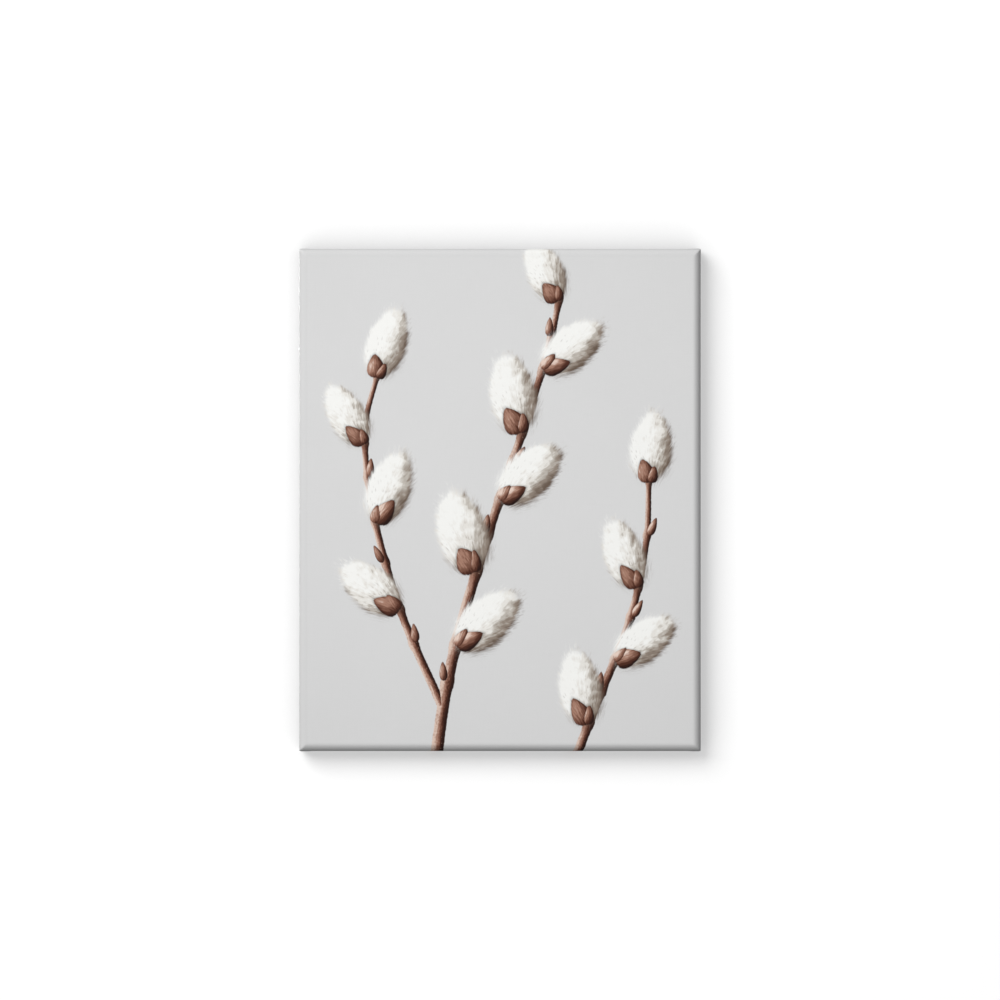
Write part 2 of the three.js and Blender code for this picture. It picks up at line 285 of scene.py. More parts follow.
class Graph:
    """Adds nodes to a material, a node group or the world."""

    def __init__(self, tree: bpy.types.NodeTree) -> None:
        """Work on one node tree."""
        self.tree = tree

    @classmethod
    def of_material(cls, name: str) -> tuple["Graph", bpy.types.Material]:
        """Start a material and return the graph that builds it, and the material."""
        material = bpy.data.materials.new(name)
        material.use_nodes = True
        material.node_tree.nodes.clear()
        return cls(material.node_tree), material

    def feed(self, socket: bpy.types.NodeSocket, value: Value) -> None:
        """Link a wire to a socket, or set the socket's own value."""
        if isinstance(value, Wire):
            self.tree.links.new(value.socket, socket)
        else:
            socket.default_value = value

    def add(self, kind: str, inputs: dict[int | str, Value], output: int | str = 0, **settings) -> Wire:
        """Add a node.

        Args:
            kind: The node's class, without its ShaderNode prefix.
            inputs: What each of its sockets gets.
            output: The socket that the result comes from.
            **settings: The node's own properties.

        Returns:
            The chosen output.
        """
        node = self.tree.nodes.new(f"ShaderNode{kind}")
        for key, value in settings.items():
            setattr(node, key, value)
        for key, value in inputs.items():
            self.feed(node.inputs[key], value)
        return Wire(self, node.outputs[output])

    def math(self, operation: str, *values: Number) -> Wire:
        """Work out one of the Math node's operations."""
        return self.add("Math", dict(enumerate(values)), operation=operation)

    def vector(self, operation: str, *values: Value) -> Wire:
        """Work out one of the Vector Math node's operations that gives a vector."""
        return self.add("VectorMath", dict(enumerate(values)), operation=operation)

    def join(self, x: Number, y: Number, z: Number = 0.0) -> Wire:
        """Make a vector of three numbers."""
        return self.add("CombineXYZ", {0: x, 1: y, 2: z})

    def split(self, vector: Wire) -> tuple[Wire, Wire, Wire]:
        """Take a vector's three numbers apart."""
        node = self.add("SeparateXYZ", {0: vector}).socket.node
        return tuple(Wire(self, socket) for socket in node.outputs)

    def field(self, name: str, output: str = "Vector") -> Wire:
        """Read what add_field stored."""
        return self.add("Attribute", {}, output, attribute_type="GEOMETRY", attribute_name=name)

    def millimetres(self) -> Wire:
        """Read the point's place in the model, in millimetres."""
        return self.vector("MULTIPLY", self.add("TexCoord", {}, "Object"), (1 / MM,) * 3)

    def noise(self, place: Wire, scale: float = 1.0, detail: float = 2.0, rough: float = 0.5) -> Wire:
        """Sample smooth noise with a mean of 0.5."""
        inputs = {"Vector": place, "Scale": scale, "Detail": detail, "Roughness": rough}
        return self.add("TexNoise", inputs)

    def rise(self, value: Wire, low: Number, high: Number) -> Wire:
        """Rise smoothly from 0 where the value is low to 1 where it is high."""
        inputs = {"Value": value, "From Min": low, "From Max": high}
        return self.add("MapRange", inputs, interpolation_type="SMOOTHSTEP")

    def fall(self, value: Wire, low: Number, high: Number) -> Wire:
        """Fall smoothly from 1 where the value is low to 0 where it is high."""
        inputs = {"Value": value, "From Min": low, "From Max": high, "To Min": 1.0, "To Max": 0.0}
        return self.add("MapRange", inputs, interpolation_type="SMOOTHSTEP")

    def mix(self, share: Number, under: Value, over: Value) -> Wire:
        """Blend two colours: under where the share is 0, over where it is 1."""
        return self.add("Mix", {0: share, 6: under, 7: over}, 2, data_type="RGBA")

    def choose(self, share: Number, first: Value, second: Value) -> Wire:
        """Blend two vectors: the first where the share is 0, the second where it is 1."""
        return self.add("Mix", {0: share, 4: first, 5: second}, 1, data_type="VECTOR")

    def shade(self, colour: Value, factor: Number) -> Wire:
        """Multiply a colour by a number."""
        grey = self.join(factor, factor, factor)
        return self.add("Mix", {0: 1.0, 6: colour, 7: grey}, 2, data_type="RGBA", blend_type="MULTIPLY")

    def ramp(self, value: Wire, stops: Sequence[tuple[float, Colour]]) -> Wire:
        """Look a colour up on a scale of colours.

        Args:
            value: The place on the scale, from 0 to 1.
            stops: Each colour with its place.

        Returns:
            The colour there.
        """
        found = self.add("ValToRGB", {0: value})
        scale = found.socket.node.color_ramp
        scale.interpolation = "EASE"
        for place, _ in stops[len(scale.elements):]:
            scale.elements.new(place)
        for element, (place, colour) in zip(scale.elements, stops):
            element.position = place
            element.color = colour
        return found

    def bump(self, height: Wire, depth_mm: float, under: Wire | None = None) -> Wire:
        """Tilt the surface's normal by a height from 0 to 1 that stands for a depth."""
        inputs: dict[int | str, Value] = {"Height": height, "Distance": depth_mm * MM, "Strength": 1.0}
        if under is not None:
            inputs["Normal"] = under
        return self.add("Bump", inputs)

    def surface(self, colour: Value, roughness: Number, normal: Wire | None, **facts: float) -> None:
        """End a material in a Principled shader.

        Args:
            colour: The base colour.
            roughness: How matt it is.
            normal: The bumped normal.
            **facts: Sockets that are the same all over, with _ for a blank in their names.
        """
        shader = self.add("BsdfPrincipled", {"Base Color": colour, "Roughness": roughness})
        node = shader.socket.node
        for name, value in facts.items():
            node.inputs[name.replace("_", " ")].default_value = value
        if normal is not None:
            self.feed(node.inputs["Normal"], normal)
        self.end(shader)

    def end(self, shader: Wire) -> None:
        """Join a shader to the material's output."""
        output = self.tree.nodes.new("ShaderNodeOutputMaterial")
        self.feed(output.inputs["Surface"], shader)


# -------------------- picture


class Growth(Enum):
    """Where on its twig a catkin or a bud grows, as a turn away from the twig."""

    LEFT = 1
    RIGHT = -1
    END = 0


@dataclass(frozen=True)
class Oval:
    """An egg-shaped motif of the picture: a catkin, a bud or a bud scale.

    Attributes:
        centre: Its middle, from the middle of the picture.
        turn: The direction of its tip, in radians from +x.
        size: Half of its length and half of its width.
        seed: A number of its own, whose sign is the side that its husk hugs.
    """

    centre: tuple[float, float]
    turn: float
    size: tuple[float, float]
    seed: float


@dataclass(frozen=True)
class Twig:
    """A twig of the picture.

    Attributes:
        route: Points that its middle line runs through, from the middle of the picture.
        thick: Half of its width at its start.
        thin: Half of its width at its end.
        catkins: The share of the way along, the side and the size of each catkin.
        buds: The share of the way along and the side of each bud.
        swelling: How far the twig swells where they grow, and over what share of the way.
        steps: How many points the line has between two of the route's.
    """

    route: tuple[tuple[float, float], ...]
    thick: float
    thin: float
    catkins: tuple[tuple[float, Growth, float], ...]
    buds: tuple[tuple[float, Growth], ...]
    swelling: tuple[float, float] = (1.3, 0.014)
    steps: int = 60

    @cached_property
    def line(self) -> Array:
        """Carry a smooth curve through the route.

        Between two points it is the cubic whose slope at each of them is half of the
        step from the point before it to the point after it.
        """
        knots = np.array(self.route, float)
        ends = np.vstack([2 * knots[0] - knots[1], knots, 2 * knots[-1] - knots[-2]])
        before, start, finish, after = ends[:-3], ends[1:-2], ends[2:-1], ends[3:]
        share = np.linspace(0, 1, self.steps, endpoint=False)[:, None, None]
        slope = finish - before
        bend = 2 * before - 5 * start + 4 * finish - after
        twist = 3 * start - before - 3 * finish + after
        cubic = start + (slope * share + bend * share**2 + twist * share**3) / 2
        return np.vstack([cubic.transpose(1, 0, 2).reshape(-1, 2), knots[-1]])

    @cached_property
    def along(self) -> Array:
        """The distance from the start to each point of the line."""
        steps = np.linalg.norm(np.diff(self.line, axis=0), axis=1)
        return np.concatenate([[0.0], np.cumsum(steps)])

    @cached_property
    def half_width(self) -> Array:
        """Half of the twig's width at each point of the line, swollen at its nodes."""
        share = self.along / self.along[-1]
        nodes = np.array([spot[0] for spot in (*self.catkins, *self.buds)])
        swell, spread = self.swelling
        return self.thick + (self.thin - self.thick) * share + swell * bumps(share, nodes, spread)

    def at(self, share: float) -> tuple[Array, float, float]:
        """Return the point, the direction in radians and the half width at a share of the way."""
        index = int(np.searchsorted(self.along, share * self.along[-1]))
        index = min(max(index, 1), len(self.line) - 1)
        step = self.line[index] - self.line[index - 1]
        return self.line[index], math.atan2(step[1], step[0]), float(self.half_width[index])

    def field(self, places: Array) -> Array:
        """Measure points against the nearest point of the twig's line.

        Args:
            places: The points.

        Returns:
            For each of them, the distance along the twig, the distance across it as a
            share of the half width, positive on the left, and the distance to the
            twig's edge, negative inside.
        """
        found = np.empty((len(places), 3))
        tangent = tangents(self.line)
        for block in np.array_split(np.arange(len(places)), 1 + len(places) // POINTS_AT_ONCE):
            offset = places[block, None, :] - self.line
            nearest = np.argmin((offset**2).sum(-1), axis=1)
            offset = offset[np.arange(len(block)), nearest]
            heading, width = tangent[nearest], self.half_width[nearest]
            across = heading[:, 0] * offset[:, 1] - heading[:, 1] * offset[:, 0]
            ahead = (heading * offset).sum(-1)
            gap = np.hypot(ahead, across) - width
            found[block] = np.stack([self.along[nearest] + ahead, across / width, gap], axis=-1)
        return found


@dataclass(frozen=True)
class Picture:
    """The picture on the cloth: willow twigs with silky catkins on a light grey ground.

    Attributes:
        twigs: The twigs, the last of them in front.
        catkin_size: Half of a usual catkin's length and half of its width.
        catkin_lean: How far a catkin leans off its twig, in degrees.
        bud_size: Half of a bud's length and half of its width.
        bud_lean: How far a bud leans off its twig, in degrees.
        seat: How far out on its twig either sits, as a share of the twig's half width,
            and how far on its middle is, as a share of its own half length.
        husk_sizes: Half lengths and half widths of the long and the short bud scale.
        husk_lean: How far a bud scale leans off its catkin, in degrees.
        husk_seat: How far behind a catkin's middle its bud scales start, as a share of
            its half length, and how far on their middles are, as a share of their own.
        tapers: How much narrower buds, catkins and bud scales are towards their tips.
        lean_spread: The most that any of them leans more or less, in degrees.
        width_spread: The narrowest and the widest, against the usual width.
        husk_spread: The smallest and the largest bud scale, against the usual size.
        seeds: The least and the greatest of the ovals' own numbers.
        shadow_shift: Where a catkin's shadow falls, from the catkin.
        shadow_depth: How much of the light it takes.
        shadow_edge: Where it starts and where it is deepest, in half lengths.
        seed: What the small differences are drawn from.
    """

    twigs: tuple[Twig, ...] = (
        Twig(
            route=((-70, -310), (-52, -180), (-20, -60), (20, 60), (48, 150), (62, 215)),
            thick=6.6,
            thin=2.8,
            catkins=(
                (0.31, Growth.RIGHT, 1.0), (0.45, Growth.LEFT, 1.08), (0.59, Growth.RIGHT, 0.98),
                (0.72, Growth.LEFT, 1.02), (0.84, Growth.RIGHT, 0.93), (0.97, Growth.LEFT, 0.86),
            ),
            buds=((0.24, Growth.LEFT), (0.52, Growth.LEFT), (0.66, Growth.RIGHT), (0.9, Growth.LEFT)),
        ),
        Twig(
            route=((-57, -206), (-98, -112), (-126, -12), (-134, 68), (-122, 124)),
            thick=4.4,
            thin=2.5,
            catkins=(
                (0.31, Growth.LEFT, 0.92), (0.57, Growth.RIGHT, 0.96), (0.80, Growth.LEFT, 0.86),
                (1.0, Growth.END, 0.92),
            ),
            buds=((0.2, Growth.RIGHT), (0.45, Growth.LEFT), (0.7, Growth.RIGHT)),
        ),
        Twig(
            route=((56, -310), (92, -212), (128, -122), (145, -44), (148, 20)),
            thick=5.2,
            thin=2.6,
            catkins=(
                (0.27, Growth.LEFT, 0.96), (0.47, Growth.RIGHT, 0.9), (0.69, Growth.LEFT, 0.92),
                (1.0, Growth.END, 0.9),
            ),
            buds=((0.37, Growth.LEFT), (0.6, Growth.RIGHT), (0.84, Growth.RIGHT)),
        ),
    )
    catkin_size: tuple[float, float] = (39.0, 22.5)
    catkin_lean: float = 31.0
    bud_size: tuple[float, float] = (9.5, 3.8)
    bud_lean: float = 13.0
    seat: tuple[float, float] = (0.55, 0.96)
    husk_sizes: tuple[tuple[float, float], ...] = ((14.5, 9.6), (9.5, 6.8))
    husk_lean: float = 17.0
    husk_seat: tuple[float, float] = (1.03, 0.98)
    tapers: tuple[float, float, float] = (0.42, 0.16, 0.46)
    lean_spread: float = 5.0
    width_spread: tuple[float, float] = (0.95, 1.06)
    husk_spread: tuple[float, float] = (0.88, 1.12)
    seeds: tuple[float, float] = (1.0, 9.0)
    shadow_shift: tuple[float, float] = (7.0, -7.0)
    shadow_depth: float = 0.55
    shadow_edge: tuple[float, float] = (1.35, 0.6)
    seed: int = 411

    @cached_property
    def catkins(self) -> tuple[Oval, ...]:
        """Lay the catkins out: each leans off its twig, with its base on the twig's edge."""
        rng = np.random.default_rng(self.seed)
        spots = [(twig, *spot) for twig in self.twigs for spot in twig.catkins]
        return tuple(self.grow(*spot, self.catkin_size, self.catkin_lean, rng) for spot in spots)

    @cached_property
    def buds(self) -> tuple[Oval, ...]:
        """Lay the buds out in the same way, closer against their twigs."""
        rng = np.random.default_rng(self.seed + 1)
        spots = [(twig, *spot, 1.0) for twig in self.twigs for spot in twig.buds]
        return tuple(self.grow(*spot, self.bud_size, self.bud_lean, rng) for spot in spots)

    @cached_property
    def husks(self) -> tuple[Oval, ...]:
        """Lay out the split bud scales: two cup each catkin's base, leaning apart.

        The long one hugs the side that the catkin's seed gives.
        """
        rng = np.random.default_rng(self.seed + 2)
        behind, onward = self.husk_seat
        found = []
        for oval in self.catkins:
            scale = oval.size[0] / self.catkin_size[0]
            base = np.array(oval.centre) - behind * oval.size[0] * pointing(oval.turn)
            for side, size in zip((1, -1), self.husk_sizes):
                hand = math.copysign(side, side * oval.seed)
                lean = math.radians(self.husk_lean + self.lean_spread * rng.uniform(-1, 1))
                turn = oval.turn + hand * lean
                long, wide = scale * np.array(size) * rng.uniform(*self.husk_spread, 2)
                centre = base + onward * long * pointing(turn)
                half_sizes = float(long), float(wide)
                found.append(Oval(tuple(centre), turn, half_sizes, rng.uniform(*self.seeds)))
        return tuple(found)

    def grow(
        self,
        twig: Twig,
        share: float,
        growth: Growth,
        scale: float,
        size: tuple[float, float],
        lean: float,
        rng: np.random.Generator,
    ) -> Oval:
        """Place one oval on its twig.

        Args:
            twig: The twig.
            share: How far along the twig the oval's base is.
            growth: The side that it grows on.
            scale: Its own size against the usual one.
            size: The usual half length and half width.
            lean: The usual angle off the twig, in degrees.
            rng: What the small differences are drawn from.

        Returns:
            The oval.
        """
        base, heading, half_width = twig.at(share)
        turn = heading + math.radians(growth.value * lean + self.lean_spread * rng.uniform(-1, 1))
        outward = heading + growth.value * math.pi / 2
        aside, onward = self.seat
        edge = aside * half_width * abs(growth.value)
        reach = scale * size[0]
        centre = base + edge * pointing(outward) + onward * reach * pointing(turn)
        side = growth.value or 1
        half = scale * size[1] * rng.uniform(*self.width_spread)
        return Oval(tuple(centre), turn, (reach, half), side * rng.uniform(*self.seeds))

    def shadow(self, places: Array) -> Array:
        """Work out how much light reaches a twig past the catkins, from 0 to 1.

        A catkin's shadow is its own oval, moved down and to the right, and is darkest
        in its middle.

        Args:
            places: The points.

        Returns:
            The light at each of them.
        """
        light = np.ones(len(places))
        for oval in self.catkins:
            offset = places - np.array(self.shadow_shift) - np.array(oval.centre)
            cos, sin = math.cos(oval.turn), math.sin(oval.turn)
            along = (offset[:, 0] * cos + offset[:, 1] * sin) / oval.size[0]
            across = (offset[:, 1] * cos - offset[:, 0] * sin) / oval.size[1]
            light *= 1 - self.shadow_depth * smooth_step(*self.shadow_edge, np.hypot(along, across))
        return light


@dataclass(frozen=True)
class Inks:
    """Paints the picture in a shader, from the cloth's own coordinates.

    A colour is given as a screen shows it in white light, and white is as bright as the
    primed cloth.

    Attributes:
        picture: What is painted.
        white: The share of the light that the primed cloth gives back.
        light: The direction of the light in the picture: to the right, up and out of it.
    """

    picture: Picture
    white: float = 0.88
    light: tuple[float, float, float] = (-0.6, 0.52, 0.6)

    def ink(self, red: float, green: float, blue: float) -> Colour:
        """Return the linear colour of the cloth under an ink."""
        return linear(red, green, blue, self.white)

    def scale(self, *stops: tuple[float, tuple[float, float, float]]) -> list[tuple[float, Colour]]:
        """Return a scale of inks for Graph.ramp."""
        return [(place, self.ink(*levels)) for place, levels in stops]

    def oval_group(self) -> bpy.types.NodeTree:
        """Make the node group that keeps the nearer of two ovals.

        A point's place in an oval is its distance along and across it in half lengths
        and half widths, and its depth there is the length of that vector, once the
        oval is narrowed towards its tip.
        """
        tree = bpy.data.node_groups.new("nearer_oval", "ShaderNodeTree")
        kinds = {
            "Place": "Vector", "Centre": "Vector", "Turn": "Vector", "Size": "Vector", "Facts": "Vector",
            "Narrowing": "Float", "Depth": "Float", "Local": "Vector", "Held": "Vector",
        }
        for name, kind in kinds.items():
            tree.interface.new_socket(name, in_out="INPUT", socket_type=f"NodeSocket{kind}")
        for name, kind in {"Depth": "Float", "Local": "Vector", "Held": "Vector"}.items():
            tree.interface.new_socket(name, in_out="OUTPUT", socket_type=f"NodeSocket{kind}")
        graph = Graph(tree)
        source = tree.nodes.new("NodeGroupInput")
        given = {name: Wire(graph, source.outputs[name]) for name in kinds}
        mapping = {"Vector": given["Place"], "Location": given["Centre"], "Rotation": given["Turn"]}
        local = graph.add("Mapping", mapping | {"Scale": given["Size"]}, vector_type="TEXTURE")
        along, across, _ = graph.split(local)
        width = graph.math("MAXIMUM", 1 - given["Narrowing"] * along, 0.4)
        squashed = graph.join(along, across / width)
        depth = graph.add("VectorMath", {0: squashed}, "Value", operation="LENGTH")
        nearer = graph.math("LESS_THAN", depth, given["Depth"])
        target = tree.nodes.new("NodeGroupOutput")
        graph.feed(target.inputs["Depth"], graph.math("MINIMUM", depth, given["Depth"]))
        graph.feed(target.inputs["Local"], graph.choose(nearer, given["Local"], local))
        graph.feed(target.inputs["Held"], graph.choose(nearer, given["Held"], given["Facts"]))
        return tree

    def nearest(
        self,
        graph: Graph,
        group: bpy.types.NodeTree,
        place: Wire,
        ovals: Sequence[Oval],
        narrowing: float,
    ) -> tuple[Wire, Wire, Wire]:
        """Find the oval that each point lies deepest in.

        Args:
            graph: The material's graph.
            group: What oval_group made.
            place: The point on the cloth.
            ovals: The ovals to choose from.
            narrowing: How much narrower their tips are.

        Returns:
            The depth, the place in that oval, and the light's direction along and
            across it with its seed.
        """
        outside = 9.0
        depth, local, held = outside, (outside, outside, 0.0), (0.0, 0.0, 0.0)
        for oval in ovals:
            cos, sin = math.cos(oval.turn), math.sin(oval.turn)
            facts = (
                self.light[0] * cos + self.light[1] * sin,
                self.light[1] * cos - self.light[0] * sin,
                oval.seed,
            )
            node = graph.tree.nodes.new("ShaderNodeGroup")
            node.node_tree = group
            inputs = {
                "Place": place, "Centre": (*oval.centre, 0.0), "Turn": (0.0, 0.0, oval.turn),
                "Size": (*oval.size, 1.0), "Facts": facts, "Narrowing": narrowing,
                "Depth": depth, "Local": local, "Held": held,
            }
            for name, value in inputs.items():
                graph.feed(node.inputs[name], value)
            depth, local, held = (Wire(graph, node.outputs[name]) for name in ("Depth", "Local", "Held"))
        return depth, local, held

    def ground(self, graph: Graph, place: Wire) -> Wire:
        """Paint the plain backdrop, brightest a little above the middle."""
        brightest, corner, darker = (0.0, 60.0, 0.0), 330, 0.05
        across, up, _ = graph.split(graph.vector("SUBTRACT", place, brightest))
        fading = (across * across + up * up) * (darker / corner**2)
        mottle = (graph.noise(place, 0.011, 2.0) - 0.5) * 0.03
        return graph.shade(self.ink(226, 226, 226), 1.0 + mottle - fading)

    def twig(self, graph: Graph, under: Wire) -> Wire:
        """Paint the bark of the twigs.

        Args:
            graph: The material's graph.
            under: What is painted already.

        Returns:
            The colour with the twigs on it.
        """
        held = graph.field("twig_1")
        for index in range(2, len(self.picture.twigs) + 1):
            other = graph.field(f"twig_{index}")
            nearer = graph.math("LESS_THAN", graph.split(other)[2], graph.split(held)[2])
            held = graph.choose(nearer, held, other)
        along, across, gap = graph.split(held)
        streaks = graph.noise(graph.join(along * 0.05, across * 1.6), 1.0, 3.0, 0.6)
        grain = graph.noise(graph.join(along * 0.45, across * 3.5), 1.0, 2.0)
        depth = graph.math("SQRT", graph.math("MAXIMUM", 1 - across * across, 0.0))
        lit = across * 0.86 + depth * 0.46 + (streaks - 0.5) * 0.8 + (grain - 0.5) * 0.5
        lit = lit * graph.field("shadow", "Fac")
        bark = graph.ramp(
            graph.rise(lit, -0.35, 1.15),
            self.scale(
                (0.0, (42, 17, 9)), (0.28, (78, 41, 28)), (0.52, (126, 84, 68)), (0.76, (172, 130, 112)),
                (1.0, (230, 205, 190)),
            ),
        )
        dash = graph.join(along * 0.3, across * 1.4)
        pore = graph.add("TexVoronoi", {"Vector": dash, "Scale": 1.0, "Randomness": 0.9}, "Distance")
        bark = graph.mix(graph.fall(pore, 0.07, 0.2) * 0.5, bark, self.ink(196, 160, 138))
        rough = gap + (grain - 0.5) * 1.1
        return graph.mix(graph.fall(rough, -0.35, 0.45), under, bark)

    def bud_scale(self, graph: Graph, lit: Wire, fibre: Wire) -> Wire:
        """Colour a glossy red-brown bud scale by how it faces the light."""
        levels = (
            (0.0, (38, 15, 8)), (0.34, (80, 43, 30)), (0.6, (126, 86, 70)), (0.82, (175, 133, 114)),
            (1.0, (240, 217, 203)),
        )
        return graph.ramp(graph.rise(lit + (fibre - 0.5) * 0.7, -0.4, 1.12), self.scale(*levels))

    def bud(self, graph: Graph, depth: Wire, local: Wire, held: Wire, under: Wire) -> Wire:
        """Paint buds, or the bud scales that a catkin has split.

        Args:
            graph: The material's graph.
            depth, local, held: What nearest found.
            under: What is painted already.

        Returns:
            The colour with the buds on it.
        """
        along, across, _ = graph.split(local)
        light_along, light_across, seed = graph.split(held)
        crown = graph.math("SQRT", graph.math("MAXIMUM", 1 - depth * depth, 0.0))
        lit = along * light_along * 0.4 + across * light_across + crown * self.light[2]
        fibre = graph.noise(graph.join(along * 2.0, across * 6.0, seed), 1.0, 2.0)
        torn = depth + (fibre - 0.5) * 0.14
        return graph.mix(graph.fall(torn, 0.94, 1.04), under, self.bud_scale(graph, lit, fibre))

    def catkin(self, graph: Graph, depth: Wire, local: Wire, held: Wire, under: Wire) -> Wire:
        """Paint the catkins: silky fur that streams to the tip.

        A hair follows across = spread * exp(0.95 * along), so that it leans outwards
        on its way to the tip. The hairs stand in tufts, one to a floret, and each tuft
        is a cell of a random pattern: dark at its foot, and light at its tip, which
        laps over the foot of the next.

        Args:
            graph: The material's graph.
            depth, local, held: What nearest found.
            under: What is painted already.

        Returns:
            The colour with the catkins on it.
        """
        along, across, _ = graph.split(local)
        light_along, light_across, seed = graph.split(held)
        spread = across * graph.math("EXPONENT", along * -0.95)
        clump = graph.noise(graph.join(spread * 20.0, along * 9.0, seed * 7.0), 0.3, 2.0)
        strand = graph.noise(graph.join(spread * 20.0, along * 3.2, seed * 5.0), 1.25, 3.0, 0.65)
        wool = graph.noise(graph.join(across * 20.0, along * 34.0, seed * 3.0), 0.11, 1.0)

        rows = graph.join(spread * 4.4 + seed * 3.0, along * 5.2 + (strand - 0.5) * 0.9)
        pattern = {"Vector": rows, "Scale": 1.0, "Randomness": 0.9}
        foot = graph.add("TexVoronoi", pattern, "Position", voronoi_dimensions="2D")
        beside, ahead, _ = graph.split(graph.vector("SUBTRACT", rows, foot))
        tip = graph.rise(ahead + (clump - 0.5) * 0.6, -0.55, 0.6)

        crown = graph.math("SQRT", graph.math("MAXIMUM", 1 - depth * depth, 0.02))
        facing = along * light_along * 0.62 + across * light_across * 1.1 + crown * self.light[2]
        ruffle = (clump - 0.5) * 0.8 + (strand - 0.5) * 0.5 + (wool - 0.5) * 0.55 + (tip - 0.5) * 0.12
        fur = graph.ramp(
            graph.rise(facing + ruffle, -0.7, 1.06),
            self.scale(
                (0.0, (108, 92, 80)), (0.24, (150, 137, 125)), (0.48, (198, 191, 182)),
                (0.67, (239, 236, 230)), (0.92, (255, 255, 252)),
            ),
        )
        below = ahead + 0.36
        speck = graph.math("SQRT", beside * beside * 2.6 + below * below) + (strand - 0.5) * 0.6
        seen = graph.fall(speck, 0.02, 0.34) * graph.fall(along, -0.5, 0.7) * graph.rise(wool, 0.4, 0.62)
        fur = graph.mix(seen * 0.36, fur, self.ink(110, 90, 78))

        ragged = depth + (clump - 0.5) * 0.3 + (strand - 0.5) * 0.34
        body = graph.fall(ragged, 0.86, 1.1)
        wisps = graph.fall(depth, 0.98, 1.3) * graph.rise(strand, 0.5, 0.66) * 0.55
        return graph.mix(graph.math("MAXIMUM", body, wisps), under, fur)

    def paint(self, graph: Graph, place: Wire) -> Wire:
        """Paint the whole picture.

        Args:
            graph: The material's graph.
            place: The point on the cloth, from the middle of the picture.

        Returns:
            The colour there.
        """
        group, picture = self.oval_group(), self.picture
        kinds = zip((picture.buds, picture.catkins, picture.husks), picture.tapers)
        buds, catkins, husks = (self.nearest(graph, group, place, *kind) for kind in kinds)
        colour = self.bud(graph, *buds, self.twig(graph, self.ground(graph, place)))
        colour = self.catkin(graph, *catkins, colour)
        nook = graph.fall(husks[0], 0.95, 1.3) * graph.fall(catkins[0], 0.8, 1.0)
        return self.bud(graph, *husks, graph.shade(colour, 1 - nook * 0.34))


# -------------------- finishes


@dataclass(frozen=True)
class Weave:
    """A plain weave's relief, from the cloth's own coordinates.

    Attributes:
        pitch: The distance between threads.
        depth: How far the threads stand out.
        wander: How far they wander off their places.
    """

    pitch: float
    depth: float
    wander: float = 1.6

    def relief(self, graph: Graph, place: Wire) -> Wire:
        """Work out the height of the threads, from 0 to 1.

        Each thread is a half wave across, and which of the two crossing ones is on top
        swaps with the sign of the product of both waves. Slow noise makes them uneven.
        """
        drift = graph.noise(place, 0.06, 2.0) * self.wander
        across, up, _ = graph.split(place)
        rate = math.pi / self.pitch
        warp = graph.math("SINE", (across + drift) * rate)
        weft = graph.math("SINE", (up + drift) * rate)
        over = graph.rise(warp * weft, -0.25, 0.25)
        return graph.math("ABSOLUTE", warp) * over + graph.math("ABSOLUTE", weft) * (1 - over)


@dataclass(frozen=True)
class PrintedCanvas:
    """Primed cotton canvas with the picture printed on it, under a matt coating.

    Attributes:
        inks: What paints the picture.
        front: Half of the width and of the height of the flat front.
        weave: The cloth's relief, mostly filled by the primer.
        lead: How far inside the flat front's edge the painted edge shade starts.
        turn: How far past that it is at its darkest.
        edge_shade_depth: How much darker it paints the print there, as painted shade that deepens the
            rounded edges' own shading.
        side: The depth of the sides, behind the rounded edge.
        printed_hem: How far the print runs on over the hem.
    """

    inks: Inks
    front: tuple[float, float]
    weave: Weave = Weave(pitch=0.62, depth=0.04)
    lead: float = 2.0
    turn: float = 3.6
    edge_shade_depth: float = 0.13
    side: float = 12.0
    printed_hem: float = 5.0

    def build(self) -> bpy.types.Material:
        """Make the material: the picture, then white primer from a little way into the hem."""
        graph, material = Graph.of_material("printed_canvas")
        flat = graph.field("flat")
        across, up, wrap = graph.split(flat)
        place = graph.join(across, up)
        # Painted shade: the picture is darkened towards the panel's edges, over the rounded edges and
        # the sides.
        print_with_edge_shade = graph.shade(self.inks.paint(graph, place), self.painted_edge_shade(graph, across, up))
        primer = self.inks.ink(240, 238, 233)
        edge = self.side + self.printed_hem
        bleed = wrap + (graph.noise(place, 0.5, 1.0) - 0.5) * 0.5
        colour = graph.mix(graph.rise(bleed, edge - 0.2, edge + 0.2), print_with_edge_shade, primer)
        threads = self.weave.relief(graph, place)
        warp = graph.noise(graph.join(across * 1.3, up * 0.05), 1.0, 2.0)
        weft = graph.noise(graph.join(across * 0.05, up * 1.3), 1.0, 2.0)
        slub = (warp + weft) * 0.5
        # Painted shade: the cloth is a little darker where its threads dip, between them; the slubs'
        # unevenness is its own colour.
        colour = graph.shade(colour, 0.985 + threads * 0.015 + (slub - 0.5) * 0.06)
        normal = graph.bump(threads, self.weave.depth, graph.bump(slub, 0.08))
        graph.surface(colour, 0.56 + threads * 0.1, normal, Specular_IOR_Level=0.14)
        return material

    def painted_edge_shade(self, graph: Graph, across: Wire, up: Wire) -> Wire:
        """Work out how much darker the print is painted over the turn to the sides and past it, as
        painted shade on the rounded edges.
        """
        beyond = [
            graph.math("ABSOLUTE", place) - half for place, half in zip((across, up), self.front)
        ]
        return 1 - graph.rise(graph.math("MAXIMUM", *beyond), -self.lead, self.turn) * self.edge_shade_depth


